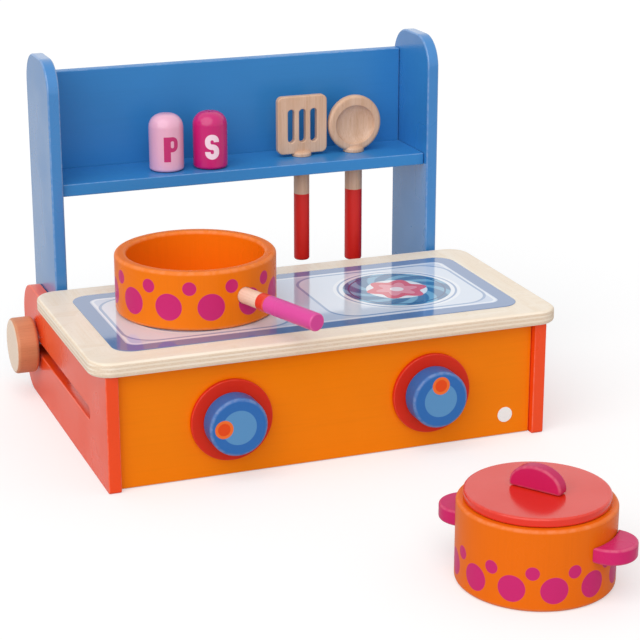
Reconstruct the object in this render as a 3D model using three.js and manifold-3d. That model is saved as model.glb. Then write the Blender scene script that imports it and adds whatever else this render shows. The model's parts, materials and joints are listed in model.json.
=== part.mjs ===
// Tabletop play cooker: a hob on a low box, a folding rack behind it, and its pans,
// utensils and shakers. Millimetres, +Z up, front towards -Y.
// The cooker's own frame has x = 0 in its middle, y = 0 at the front edges of the side
// panels and z = 0 on the floor. The finished group stands with the centre of its
// footprint at the origin.
import * as THREE from "three";
import { mergeVertices } from "three/addons/utils/BufferGeometryUtils.js";
import Module from "manifold-3d";

const wasm = await Module();
wasm.setup();

// Counts and angles
const quarter_turn = Math.PI / 2;
const half_turn = Math.PI;
const full_turn = Math.PI * 2;
const large_round_steps = 40;
const medium_round_steps = 28;
const small_round_steps = 16;
const dowel_steps = 8;
const outline_steps = 4;
const edge_steps = 1;
const profile_steps = 1;
const fine_profile_steps = 2;
const hexagon_sides = 6;
const sphere_rows = 12;

// Gaps that every joint shares
const joint_gap = 0.3;
const running_gap = 0.4;
const film_gap = 0.05;
const cut_overrun = 4;

// Boards
const board_thickness = 10;
const board_edge_radius = 0.8;

// Box
const cooker_width = 360;
const side_depth = 272;
const side_height = 92.5;
const side_rear_radius = 28;
const side_front_radius = 2;
const front_recess = 6;
const front_floor_gap = 0.5;

// Slots for the clamp bolts
const slot_height = 10.5;
const slot_front_y = 56;
const pivot_rear_inset = 41;
const pivot_height = 46;

// Hob
const hob_thickness = 11.5;
const hob_side_overhang = 10.4;
const hob_front_overhang = 5;
const hob_rear_y = 187.5;
const hob_corner_radius = 18;
const hob_edge_radius = 2.5;
const print_thickness = 0.4;
const print_side_margin = 24;
const print_front_margin = 22;
const print_rear_margin = 24;
const print_corner_radius = 16;

// Dowels
const dowel_radius = 3;
const dowel_side_depth = 6;
const dowel_end_depth = 16;
const top_dowel_lower_depth = 14;
const top_dowel_upper_depth = 7;
const front_dowel_height_shares = [0.22, 0.78];
const top_dowel_front_inset = 38;
const top_dowel_rear_inset = 36;

// Front knobs
const knob_spacing = 164.6;
const knob_height = 45.6;
const plate_radius = 32.4;
const plate_thickness = 4;
const plate_edge_radius = 0.8;
const knob_radius = 23;
const knob_length = 16.6;
const knob_front_radius = 2.6;
const knob_rear_radius = 1;
const shaft_radius = 2.5;
const shaft_seat_depth = 11;
const shaft_end_length = 1.5;
const nut_flat_width = 8;
const nut_length = 5;

// Round badge on the front panel
const badge_radius = 6.3;
const badge_thickness = 0.4;
const badge_side_inset = 31.8;
const badge_height = 17.6;

// Clamp bolts and their wooden thumb knobs
const washer_radius = 12;
const washer_thickness = 1.2;
const bolt_radius = 3;
const bolt_knob_depth = 13;
const insert_radius = 5;
const insert_length = 8.6;
const insert_floor = 1;
const bolt_insert_depth = 8;
const thumb_radius = 23.5;
const thumb_length = 18.5;
const thumb_edge_radius = 3;

// Rack
const post_depth = 75.4;
const post_corner_radius = 26;
const post_edge_radius = 1.5;
const rack_height = 288.5;
const shelf_top_height = 188.3;
const shelf_front_y = 199;
const back_front_y = 255.1;
const back_top_inset = 18.3;
const shelf_dowel_depth_shares = [0.22, 0.78];
const back_dowel_height_shares = [0.24, 0.8];

// Utensils, which hang in holes of the shelf
const utensil_y = 229;
const utensil_hole_gap = 0.6;
const collar_height = 2.2;
const spatula_x = 57.9;
const spatula_width = 44.6;
const spatula_head_height = 50;
const spatula_thickness = 6.5;
const spatula_corner_radius = 5;
const spatula_edge_radius = 1.2;
const spatula_handle_radius = 6.75;
const spatula_collar_radius = 8.8;
const spatula_dome_height = 5;
const spatula_handle_length = 92.3;
const spatula_slot_width = 6;
const spatula_slot_length = 28.7;
const spatula_slot_pitch = 10.2;
const spatula_slot_height = 26.5;
const spoon_x = 106;
const spoon_width = 48;
const spoon_head_height = 49;
const spoon_thickness = 8.8;
const spoon_edge_radius = 2.4;
const spoon_bowl_width = 35.4;
const spoon_bowl_height = 33.4;
const spoon_bowl_depth = 5.6;
const spoon_bowl_centre_height = 23.7;
const spoon_handle_radius = 7.5;
const spoon_collar_radius = 11;
const spoon_dome_height = 6;
const spoon_handle_length = 96.7;
const handle_end_radius = 1.5;

// Shakers
const shaker_radius = 14.5;
const shaker_height = 47.2;
const shaker_top_radius = 11;
const shaker_base_radius = 2.5;
const shaker_hole_radius = 1;
const shaker_hole_depth = 4;
const shaker_hole_circle_radius = 2.6;
const shaker_holes = 3;
const pepper_x = -64.6;
const pepper_y = 221.6;
const salt_x = -27.5;
const salt_y = 218;

// Saucepan
const pan_x = -77.7;
const pan_y = 103.4;
const pan_radius = 63.6;
const pan_height = 46.7;
const pan_wall = 9.4;
const pan_floor = 9;
const pan_rim_radius = 3;
const pan_base_radius = 3;
const pan_inner_radius = 6;
const pan_handle_height = 24.5;
const pan_handle_degrees = -71.2;
const pan_rod_radius = 7;
const pan_socket_depth = 5;
const pan_peg_reach = 20.4;
const pan_tenon_radius = 4;
const pan_tenon_depth = 22;
const pan_collar_length = 9.4;
const pan_grip_length = 56.5;
const pan_rod_edge_radius = 1;

// Pot
const pot_x = 52.2;
const pot_y = -238.2;
const pot_radius = 54.4;
const pot_height = 58;
const pot_wall = 8;
const pot_floor = 8;
const pot_rim_radius = 2.5;
const pot_base_radius = 3;
const pot_inner_radius = 5;
const pot_handle_degrees = -55;
const pot_handle_reach = 19.1;
const pot_handle_width = 37.2;
const pot_handle_end_reach = 17.5;
const pot_handle_thickness = 11.2;
const pot_handle_edge_radius = 1.5;
const pot_handle_height = 36.4;
const pot_dowel_wall_depth = 5;
const pot_dowel_handle_depth = 9;

// Lid
const lid_radius = 49.7;
const lid_thickness = 6.2;
const lid_edge_radius = 1.2;
const lid_spigot_gap = 1.2;
const lid_spigot_depth = 4;
const lid_handle_width = 39;
const lid_handle_height = 17;
const lid_handle_bulge_height = 3;
const lid_handle_thickness = 10;
const lid_handle_edge_radius = 1.5;
const lid_screw_radius = 2;
const lid_screw_head_radius = 4;
const lid_screw_head_height = 2.2;
const lid_screw_handle_depth = 9;

// Places worked out from those sizes
const pivot_y = side_depth - pivot_rear_inset;
const back_top_height = rack_height - back_top_inset;
const cooker_half_width = cooker_width / 2;
const side_inner_x = cooker_half_width - board_thickness;
const front_half_width = side_inner_x - joint_gap;
const front_rear_y = front_recess + board_thickness;
const hob_underside = side_height + joint_gap;
const hob_surface = hob_underside + hob_thickness;
const hob_half_width = cooker_half_width + hob_side_overhang;
const hob_front_y = -hob_front_overhang;
const print_surface = hob_surface + film_gap + print_thickness;
const post_outer_x = side_inner_x - running_gap;
const post_inner_x = post_outer_x - board_thickness;
const rack_half_width = post_inner_x - joint_gap;
const shelf_underside_height = shelf_top_height - board_thickness;

// Paints and woods
const orange_paint = { color: 0xee7d0e, roughness: 0.35, metalness: 0 };
const red_paint = { color: 0xe2421a, roughness: 0.35, metalness: 0 };
const blue_paint = { color: 0x2f72b4, roughness: 0.4, metalness: 0 };
const magenta_paint = { color: 0xd2307f, roughness: 0.35, metalness: 0 };
const pink_paint = { color: 0xf2bfd6, roughness: 0.35, metalness: 0 };
const lid_paint = { color: 0xe03a28, roughness: 0.3, metalness: 0 };
const birch = { color: 0xe6d3b4, roughness: 0.6, metalness: 0 };
const beech = { color: 0xd9a877, roughness: 0.6, metalness: 0 };
const print_film = { color: 0xc9d9e8, roughness: 0.2, metalness: 0 };
const white_film = { color: 0xf4f4f2, roughness: 0.4, metalness: 0 };
const steel = { color: 0xb8babd, roughness: 0.35, metalness: 1 };
const brass = { color: 0xc9a54a, roughness: 0.35, metalness: 1 };

// A geometry's solid, with its shared corners merged and its empty triangles left out.
function solid_of(geometry) {
  const plain = geometry.clone();
  plain.deleteAttribute("normal");
  plain.deleteAttribute("uv");
  const welded = mergeVertices(plain);
  const corners = welded.index.array;
  const kept = [];
  for (let at = 0; at < corners.length; at += 3) {
    const [a, b, c] = corners.slice(at, at + 3);
    if (a !== b && b !== c && c !== a) {
      kept.push(a, b, c);
    }
  }
  return new wasm.Manifold(new wasm.Mesh({
    numProp: 3,
    vertProperties: new Float32Array(welded.attributes.position.array),
    triVerts: new Uint32Array(kept),
  }));
}

function geometry_of(solid) {
  const mesh = solid.getMesh();
  const geometry = new THREE.BufferGeometry();
  geometry.setAttribute("position", new THREE.BufferAttribute(mesh.vertProperties, 3));
  geometry.setIndex(new THREE.BufferAttribute(mesh.triVerts, 1));
  geometry.computeVertexNormals();
  return geometry;
}

function cut(geometry, tools) {
  let solid = solid_of(geometry);
  for (const tool of tools) {
    solid = solid.subtract(solid_of(tool));
  }
  return geometry_of(solid);
}

function join(geometries) {
  let solid = solid_of(geometries[0]);
  for (const geometry of geometries.slice(1)) {
    solid = solid.add(solid_of(geometry));
  }
  return geometry_of(solid);
}

// Directions: a piece drawn flat is stood up facing the side or the front, and a rod or
// a turned piece drawn along +Z is laid along another axis.
const east = new THREE.Vector3(1, 0, 0);
const north = new THREE.Vector3(0, 1, 0);
const up = new THREE.Vector3(0, 0, 1);

function facing_side(geometry) {
  return geometry.applyMatrix4(new THREE.Matrix4().makeBasis(north, up, east));
}

function facing_front(geometry) {
  const south = north.clone().negate();
  return geometry.applyMatrix4(new THREE.Matrix4().makeBasis(east, up, south));
}

function along_x(geometry) {
  return geometry.rotateY(quarter_turn);
}

function towards_front(geometry) {
  return geometry.rotateX(quarter_turn);
}

// A round rod along +Z that starts at zero.
function rod(radius, length, steps = small_round_steps) {
  const geometry = new THREE.CylinderGeometry(radius, radius, length, steps);
  return geometry.rotateX(quarter_turn).translate(0, 0, length / 2);
}

// A piece turned on the lathe round +Z, from a path of radius and height.
function turned(path, steps, arc_steps = profile_steps) {
  const points = path.getPoints(arc_steps);
  return new THREE.LatheGeometry(points, steps).rotateX(quarter_turn);
}

// A board: a flat outline with its thickness along +Z and rounded edges.
function board(outline, thickness, edge_radius) {
  const geometry = new THREE.ExtrudeGeometry(outline, {
    depth: thickness - edge_radius * 2,
    bevelThickness: edge_radius,
    bevelSize: edge_radius,
    bevelOffset: -edge_radius,
    bevelSegments: edge_steps,
    curveSegments: outline_steps,
  });
  return geometry.translate(0, 0, edge_radius);
}

// A flat sheet or plate with square edges.
function plate(outline, thickness, steps = outline_steps) {
  return new THREE.ExtrudeGeometry(outline, {
    depth: thickness,
    bevelEnabled: false,
    curveSegments: steps,
  });
}

// A rectangle whose four corners have their own radii, from the low left corner round.
function rounded_rectangle(left, bottom, right, top, radii) {
  const [low_left, low_right, high_right, high_left] = radii;
  const shape = new THREE.Shape();
  shape.moveTo(left + low_left, bottom);
  shape.lineTo(right - low_right, bottom);
  shape.absarc(right - low_right, bottom + low_right, low_right, -quarter_turn, 0);
  shape.lineTo(right, top - high_right);
  shape.absarc(right - high_right, top - high_right, high_right, 0, quarter_turn);
  shape.lineTo(left + high_left, top);
  shape.absarc(left + high_left, top - high_left, high_left, quarter_turn, half_turn);
  shape.lineTo(left, bottom + low_left);
  shape.absarc(left + low_left, bottom + low_left, low_left, half_turn, half_turn + quarter_turn);
  return shape;
}

function rectangle(left, bottom, right, top) {
  const shape = new THREE.Shape();
  shape.moveTo(left, bottom);
  shape.lineTo(right, bottom);
  shape.lineTo(right, top);
  shape.lineTo(left, top);
  shape.closePath();
  return shape;
}

function round_hole(x, y, radius) {
  const hole = new THREE.Path();
  hole.absarc(x, y, radius, 0, full_turn, true);
  return hole;
}

// A long hole with round ends that runs along x.
function slot_hole(start_x, end_x, y, radius) {
  const hole = new THREE.Path();
  hole.moveTo(start_x, y - radius);
  hole.absarc(start_x, y, radius, -quarter_turn, quarter_turn, true);
  hole.lineTo(end_x, y + radius);
  hole.absarc(end_x, y, radius, quarter_turn, -quarter_turn, true);
  hole.closePath();
  return hole;
}

// A turned solid of one radius with its lower and upper edges rounded.
function turned_block(radius, length, low_radius, high_radius, steps, arc_steps) {
  const path = new THREE.Path();
  path.moveTo(0, 0);
  path.lineTo(radius - low_radius, 0);
  path.absarc(radius - low_radius, low_radius, low_radius, -quarter_turn, 0);
  path.lineTo(radius, length - high_radius);
  path.absarc(radius - high_radius, length - high_radius, high_radius, 0, quarter_turn);
  path.lineTo(0, length);
  return turned(path, steps, arc_steps);
}

// A turned ring or plate with a hole along its axis.
function turned_ring(radius, bore_radius, length, edge_radius, steps) {
  const path = new THREE.Path();
  path.moveTo(bore_radius, 0);
  path.lineTo(radius - edge_radius, 0);
  path.absarc(radius - edge_radius, edge_radius, edge_radius, -quarter_turn, 0);
  path.lineTo(radius, length - edge_radius);
  path.absarc(radius - edge_radius, length - edge_radius, edge_radius, 0, quarter_turn);
  path.lineTo(bore_radius, length);
  path.lineTo(bore_radius, 0);
  return turned(path, steps);
}

// A ring or bush with square edges.
function bush(radius, bore_radius, length) {
  const path = new THREE.Path();
  path.moveTo(bore_radius, 0);
  path.lineTo(radius, 0);
  path.lineTo(radius, length);
  path.lineTo(bore_radius, length);
  path.lineTo(bore_radius, 0);
  return turned(path, small_round_steps);
}

// A turned cup: its outer side, a rounded rim, and a hollow with a rounded floor edge.
function turned_cup(size) {
  const inner = size.radius - size.wall;
  const rim = size.rim_radius;
  const path = new THREE.Path();
  path.moveTo(0, 0);
  path.lineTo(size.radius - size.base_radius, 0);
  path.absarc(size.radius - size.base_radius, size.base_radius, size.base_radius, -quarter_turn, 0);
  path.lineTo(size.radius, size.height - rim);
  path.absarc(size.radius - rim, size.height - rim, rim, 0, quarter_turn);
  path.lineTo(inner + rim, size.height);
  path.absarc(inner + rim, size.height - rim, rim, quarter_turn, half_turn);
  path.lineTo(inner, size.floor + size.inner_radius);
  path.absarc(inner - size.inner_radius, size.floor + size.inner_radius, size.inner_radius,
    0, -quarter_turn, true);
  path.lineTo(0, size.floor);
  return turned(path, large_round_steps);
}

function add_piece(group, name, geometry, finish, x = 0, y = 0, z = 0) {
  const mesh = new THREE.Mesh(geometry, new THREE.MeshStandardMaterial(finish));
  mesh.name = name;
  mesh.position.set(x, y, z);
  group.add(mesh);
  return mesh;
}

const sides = [
  { name: "left", sign: -1 },
  { name: "right", sign: 1 },
];

// Box: two side panels, the front panel between them and the hob top across them
const front_dowel_y = front_recess + board_thickness / 2;
const front_dowel_levels = [
  { name: "lower", z: side_height * front_dowel_height_shares[0] },
  { name: "upper", z: side_height * front_dowel_height_shares[1] },
];
const top_dowel_x = cooker_half_width - board_thickness / 2;
const top_dowel_rows = [
  { name: "front", y: top_dowel_front_inset },
  { name: "rear", y: hob_rear_y - top_dowel_rear_inset },
];
const dowel_hole_radius = dowel_radius + joint_gap;

function side_panel(side) {
  const outline = rounded_rectangle(0, 0, side_depth, side_height,
    [side_front_radius, side_rear_radius, side_rear_radius, side_front_radius]);
  outline.holes.push(slot_hole(slot_front_y, pivot_y, pivot_height, slot_height / 2));
  const panel = facing_side(board(outline, board_thickness, board_edge_radius));
  panel.translate(-board_thickness / 2, 0, 0);
  const inner_face = -side.sign * board_thickness / 2;
  const tools = [];
  for (const level of front_dowel_levels) {
    const hole_depth = dowel_side_depth + joint_gap;
    const hole = along_x(rod(dowel_hole_radius, hole_depth + cut_overrun, dowel_steps));
    const start = side.sign > 0 ? inner_face - cut_overrun : inner_face - hole_depth;
    tools.push(hole.translate(start, front_dowel_y, level.z));
  }
  for (const row of top_dowel_rows) {
    const hole_depth = top_dowel_lower_depth + joint_gap;
    const hole = rod(dowel_hole_radius, hole_depth + cut_overrun, dowel_steps);
    tools.push(hole.translate(0, row.y, side_height - hole_depth));
  }
  return cut(panel, tools);
}

function front_panel() {
  const outline = rectangle(-front_half_width, front_floor_gap, front_half_width, side_height);
  const panel = facing_front(board(outline, board_thickness, board_edge_radius));
  panel.translate(0, front_rear_y, 0);
  const tools = [];
  for (const side of sides) {
    for (const level of front_dowel_levels) {
      const hole_depth = dowel_end_depth + joint_gap;
      const hole = along_x(rod(dowel_hole_radius, hole_depth + cut_overrun, dowel_steps));
      const start = side.sign > 0 ? front_half_width - hole_depth : -front_half_width - cut_overrun;
      tools.push(hole.translate(start, front_dowel_y, level.z));
    }
    const shaft_hole = rod(shaft_radius + running_gap, board_thickness + cut_overrun * 2);
    const shaft_x = side.sign * knob_spacing / 2;
    tools.push(towards_front(shaft_hole).translate(shaft_x, front_rear_y + cut_overrun, knob_height));
  }
  return cut(panel, tools);
}

function hob_top() {
  const outline = rounded_rectangle(-hob_half_width, hob_front_y, hob_half_width, hob_rear_y,
    Array(4).fill(hob_corner_radius));
  const top = board(outline, hob_thickness, hob_edge_radius);
  const tools = [];
  for (const side of sides) {
    for (const row of top_dowel_rows) {
      const hole_depth = top_dowel_upper_depth + joint_gap;
      const hole = rod(dowel_hole_radius, hole_depth + cut_overrun, dowel_steps);
      tools.push(hole.translate(side.sign * top_dowel_x, row.y, -cut_overrun));
    }
  }
  return cut(top, tools);
}

function hob_print() {
  const outline = rounded_rectangle(
    print_side_margin - hob_half_width, hob_front_y + print_front_margin,
    hob_half_width - print_side_margin, hob_rear_y - print_rear_margin,
    Array(4).fill(print_corner_radius));
  return plate(outline, print_thickness);
}

function build_box() {
  const box = new THREE.Group();
  for (const side of sides) {
    const panel_x = side.sign * (cooker_half_width - board_thickness / 2);
    add_piece(box, `side_panel_${side.name}`, side_panel(side), red_paint, panel_x);
    for (const level of front_dowel_levels) {
      const length = dowel_side_depth + dowel_end_depth;
      const start = side.sign > 0 ? side_inner_x - dowel_end_depth : -side_inner_x - dowel_side_depth;
      const dowel = along_x(rod(dowel_radius, length, dowel_steps));
      add_piece(box, `front_dowel_${side.name}_${level.name}`, dowel, beech, start, front_dowel_y, level.z);
    }
    for (const row of top_dowel_rows) {
      const dowel = rod(dowel_radius, top_dowel_lower_depth + top_dowel_upper_depth, dowel_steps);
      const start = side_height - top_dowel_lower_depth;
      add_piece(box, `top_dowel_${side.name}_${row.name}`, dowel, beech,
        side.sign * top_dowel_x, row.y, start);
    }
  }
  add_piece(box, "front_panel", front_panel(), orange_paint);
  add_piece(box, "hob_top", hob_top(), birch, 0, 0, hob_underside);
  add_piece(box, "hob_print", hob_print(), print_film, 0, 0, hob_surface + film_gap);
  const badge = towards_front(rod(badge_radius, badge_thickness));
  add_piece(box, "front_badge", badge, white_film,
    cooker_half_width - badge_side_inset, front_recess - film_gap, badge_height);
  return box;
}

// Front knobs: a red plate fixed to the panel, and the knob, its shaft and its nut
function hexagon_nut() {
  const corner_radius = nut_flat_width / 2 / Math.cos(half_turn / hexagon_sides);
  const outline = new THREE.Shape();
  for (let corner = 0; corner < hexagon_sides; corner += 1) {
    const angle = full_turn * corner / hexagon_sides;
    const x = corner_radius * Math.cos(angle);
    const y = corner_radius * Math.sin(angle);
    if (corner === 0) {
      outline.moveTo(x, y);
    } else {
      outline.lineTo(x, y);
    }
  }
  outline.closePath();
  outline.holes.push(round_hole(0, 0, shaft_radius + joint_gap));
  return plate(outline, nut_length, dowel_steps);
}

function knob() {
  const body = turned_block(knob_radius, knob_length, knob_rear_radius, knob_front_radius,
    medium_round_steps);
  const seat = rod(shaft_radius + joint_gap, shaft_seat_depth + joint_gap + cut_overrun);
  return cut(body, [seat.translate(0, 0, -cut_overrun)]);
}

function build_knob(side) {
  const group = new THREE.Group();
  group.position.set(side.sign * knob_spacing / 2, 0, knob_height);
  const plate_rear_y = front_recess - joint_gap;
  const knob_rear_y = plate_rear_y - plate_thickness - running_gap;
  const ring = turned_ring(plate_radius, shaft_radius + running_gap, plate_thickness,
    plate_edge_radius, large_round_steps);
  add_piece(group, `knob_plate_${side.name}`, towards_front(ring), red_paint, 0, plate_rear_y);
  add_piece(group, `knob_${side.name}`, towards_front(knob()), blue_paint, 0, knob_rear_y);
  const nut_front_y = front_rear_y + running_gap;
  const shaft_rear_y = nut_front_y + nut_length + shaft_end_length;
  const shaft_length = shaft_rear_y - knob_rear_y + shaft_seat_depth;
  add_piece(group, `knob_shaft_${side.name}`, towards_front(rod(shaft_radius, shaft_length)), steel,
    0, shaft_rear_y);
  add_piece(group, `knob_nut_${side.name}`, towards_front(hexagon_nut()), steel,
    0, nut_front_y + nut_length);
  return group;
}

// Rack: two round-ended posts, the shelf and the back panel, in a frame whose origin is
// the pivot that the clamp bolts make
const rack_top = rack_height - pivot_height;
const shelf_top = shelf_top_height - pivot_height;
const shelf_underside = shelf_underside_height - pivot_height;
const back_top = back_top_height - pivot_height;
const shelf_front = shelf_front_y - pivot_y;
const back_front = back_front_y - pivot_y;
const back_rear = back_front + board_thickness;
const shelf_rear = back_front - joint_gap;
const back_height = back_top - shelf_underside;
const rack_dowels = [
  ...shelf_dowel_depth_shares.map((share, at) => ({
    name: `shelf_dowel_${["front", "rear"][at]}`,
    board: "shelf",
    y: shelf_front + (shelf_rear - shelf_front) * share,
    z: (shelf_top + shelf_underside) / 2,
  })),
  ...back_dowel_height_shares.map((share, at) => ({
    name: `back_dowel_${["lower", "upper"][at]}`,
    board: "back",
    y: (back_front + back_rear) / 2,
    z: shelf_underside + back_height * share,
  })),
];

function post(side) {
  const half_depth = post_depth / 2;
  const outline = new THREE.Shape();
  outline.moveTo(half_depth, 0);
  outline.lineTo(half_depth, rack_top - post_corner_radius);
  outline.absarc(half_depth - post_corner_radius, rack_top - post_corner_radius, post_corner_radius,
    0, quarter_turn);
  outline.lineTo(post_corner_radius - half_depth, rack_top);
  outline.absarc(post_corner_radius - half_depth, rack_top - post_corner_radius, post_corner_radius,
    quarter_turn, half_turn);
  outline.lineTo(-half_depth, 0);
  outline.absarc(0, 0, half_depth, half_turn, full_turn);
  const body = facing_side(board(outline, board_thickness, post_edge_radius));
  body.translate(-board_thickness / 2, 0, 0);
  const inner_face = -side.sign * board_thickness / 2;
  const outer_face = -inner_face;
  const tools = [];
  for (const dowel of rack_dowels) {
    const hole_depth = dowel_side_depth + joint_gap;
    const hole = along_x(rod(dowel_hole_radius, hole_depth + cut_overrun, dowel_steps));
    const start = side.sign > 0 ? inner_face - cut_overrun : inner_face - hole_depth;
    tools.push(hole.translate(start, dowel.y, dowel.z));
  }
  const insert_hole_depth = board_thickness - insert_floor;
  const insert_hole = along_x(rod(insert_radius + joint_gap, insert_hole_depth + cut_overrun));
  const insert_start = side.sign > 0 ? outer_face - insert_hole_depth : outer_face - cut_overrun;
  tools.push(insert_hole.translate(insert_start, 0, 0));
  return cut(body, tools);
}

// The holes in both ends of a board that runs between the posts.
function end_dowel_holes(board_name) {
  const tools = [];
  const hole_depth = dowel_end_depth + joint_gap;
  for (const dowel of rack_dowels.filter((one) => one.board === board_name)) {
    for (const side of sides) {
      const hole = along_x(rod(dowel_hole_radius, hole_depth + cut_overrun, dowel_steps));
      const start = side.sign > 0 ? rack_half_width - hole_depth : -rack_half_width - cut_overrun;
      tools.push(hole.translate(start, dowel.y, dowel.z));
    }
  }
  return tools;
}

function shelf() {
  const outline = rectangle(-rack_half_width, shelf_front, rack_half_width, shelf_rear);
  const body = board(outline, board_thickness, board_edge_radius).translate(0, 0, shelf_underside);
  const tools = end_dowel_holes("shelf");
  const hangers = [
    { x: spatula_x, radius: spatula_handle_radius },
    { x: spoon_x, radius: spoon_handle_radius },
  ];
  for (const hanger of hangers) {
    const hole = rod(hanger.radius + utensil_hole_gap, board_thickness + cut_overrun * 2);
    tools.push(hole.translate(hanger.x, utensil_y - pivot_y, shelf_underside - cut_overrun));
  }
  return cut(body, tools);
}

function back_panel() {
  const outline = rectangle(-rack_half_width, shelf_underside, rack_half_width, back_top);
  const body = facing_front(board(outline, board_thickness, board_edge_radius));
  return cut(body.translate(0, back_rear, 0), end_dowel_holes("back"));
}

function build_rack() {
  const rack = new THREE.Group();
  rack.position.set(0, pivot_y, pivot_height);
  add_piece(rack, "shelf", shelf(), blue_paint);
  add_piece(rack, "back_panel", back_panel(), blue_paint);
  for (const side of sides) {
    const post_x = side.sign * (post_outer_x - board_thickness / 2);
    add_piece(rack, `post_${side.name}`, post(side), blue_paint, post_x);
    for (const dowel of rack_dowels) {
      const length = dowel_side_depth + dowel_end_depth;
      const start = side.sign > 0 ? post_inner_x - dowel_end_depth : -post_inner_x - dowel_side_depth;
      add_piece(rack, `${dowel.name}_${side.name}`, along_x(rod(dowel_radius, length, dowel_steps)), beech,
        start, dowel.y, dowel.z);
    }
    const insert = along_x(bush(insert_radius, bolt_radius + joint_gap, insert_length));
    const insert_start = side.sign > 0 ? post_outer_x - insert_length : -post_outer_x;
    add_piece(rack, `threaded_insert_${side.name}`, insert, brass, insert_start);
  }
  return rack;
}

// Clamps: on each side a washer, a wooden thumb knob and the bolt that it holds
function build_clamp(side) {
  const clamp = new THREE.Group();
  clamp.position.set(0, pivot_y, pivot_height);
  if (side.sign < 0) {
    clamp.rotation.z = half_turn;
  }
  const washer_x = cooker_half_width + joint_gap;
  const thumb_x = washer_x + washer_thickness + joint_gap;
  const washer = bush(washer_radius, bolt_radius + running_gap, washer_thickness);
  add_piece(clamp, `clamp_washer_${side.name}`, along_x(washer), steel, washer_x);
  const thumb = turned_block(thumb_radius, thumb_length, thumb_edge_radius, thumb_edge_radius,
    medium_round_steps);
  const seat = rod(bolt_radius + joint_gap, bolt_knob_depth + joint_gap + cut_overrun);
  const thumb_knob = along_x(cut(thumb, [seat.translate(0, 0, -cut_overrun)]));
  add_piece(clamp, `thumb_knob_${side.name}`, thumb_knob, beech, thumb_x);
  const bolt_start = post_outer_x - bolt_insert_depth;
  const bolt_length = thumb_x + bolt_knob_depth - bolt_start;
  add_piece(clamp, `clamp_bolt_${side.name}`, along_x(rod(bolt_radius, bolt_length)), steel, bolt_start);
  return clamp;
}

// Saucepan: a turned pan, and a handle of a natural peg, a red collar and a grip
function saucepan_body() {
  const body = turned_cup({
    radius: pan_radius,
    height: pan_height,
    wall: pan_wall,
    floor: pan_floor,
    rim_radius: pan_rim_radius,
    base_radius: pan_base_radius,
    inner_radius: pan_inner_radius,
  });
  const socket = along_x(rod(pan_rod_radius + joint_gap, pan_socket_depth + cut_overrun));
  socket.translate(pan_radius - pan_socket_depth, 0, pan_handle_height);
  return cut(body, [socket]);
}

function build_saucepan() {
  const pan = new THREE.Group();
  pan.position.set(pan_x, pan_y, print_surface + joint_gap);
  pan.rotation.z = THREE.MathUtils.degToRad(pan_handle_degrees);
  add_piece(pan, "saucepan", saucepan_body(), orange_paint);
  const peg_start = pan_radius - pan_socket_depth + joint_gap;
  const peg_end = pan_radius + pan_peg_reach;
  const collar_start = peg_end + joint_gap;
  const grip_start = collar_start + pan_collar_length + joint_gap;
  const tenon_end = grip_start + pan_tenon_depth;
  const peg = join([
    rod(pan_rod_radius, peg_end - peg_start),
    rod(pan_tenon_radius, tenon_end - peg_start),
  ]);
  add_piece(pan, "saucepan_peg", along_x(peg), birch, peg_start, 0, pan_handle_height);
  const collar = bush(pan_rod_radius, pan_tenon_radius + joint_gap, pan_collar_length);
  add_piece(pan, "saucepan_collar", along_x(collar), red_paint, collar_start, 0, pan_handle_height);
  const grip = turned_block(pan_rod_radius, pan_grip_length, joint_gap, pan_rod_edge_radius,
    small_round_steps);
  const bore = rod(pan_tenon_radius + joint_gap, pan_tenon_depth + joint_gap + cut_overrun);
  const bored_grip = cut(grip, [bore.translate(0, 0, -cut_overrun)]);
  add_piece(pan, "saucepan_handle", along_x(bored_grip), magenta_paint, grip_start, 0, pan_handle_height);
  return pan;
}

// Pot: a turned pot with two handles on dowels, and a lid with its own handle and screw
function pot_body() {
  const body = turned_cup({
    radius: pot_radius,
    height: pot_height,
    wall: pot_wall,
    floor: pot_floor,
    rim_radius: pot_rim_radius,
    base_radius: pot_base_radius,
    inner_radius: pot_inner_radius,
  });
  const tools = sides.map((side) => {
    const hole = along_x(rod(dowel_hole_radius, pot_dowel_wall_depth + cut_overrun, dowel_steps));
    const start = side.sign > 0 ? pot_radius - pot_dowel_wall_depth : -pot_radius - cut_overrun;
    return hole.translate(start, 0, pot_handle_height);
  });
  return cut(body, tools);
}

// A handle plate with a round outer end, hollowed to fit the side of the pot.
function pot_handle() {
  const reach = pot_radius + pot_handle_reach;
  const end_x = reach - pot_handle_end_reach;
  const half_width = pot_handle_width / 2;
  const outline = new THREE.Shape();
  outline.moveTo(pot_radius / 2, -half_width);
  outline.lineTo(end_x, -half_width);
  outline.absellipse(end_x, 0, pot_handle_end_reach, half_width, -quarter_turn, quarter_turn);
  outline.lineTo(pot_radius / 2, half_width);
  outline.closePath();
  const body = board(outline, pot_handle_thickness, pot_handle_edge_radius);
  body.translate(0, 0, -pot_handle_thickness / 2);
  const pot_space = rod(pot_radius + joint_gap, pot_handle_thickness + cut_overrun * 2, large_round_steps);
  pot_space.translate(0, 0, -pot_handle_thickness / 2 - cut_overrun);
  const hole_end = pot_radius + pot_dowel_handle_depth + joint_gap;
  const dowel_hole = along_x(rod(dowel_hole_radius, hole_end, dowel_steps));
  return cut(body, [pot_space, dowel_hole]);
}

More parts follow.
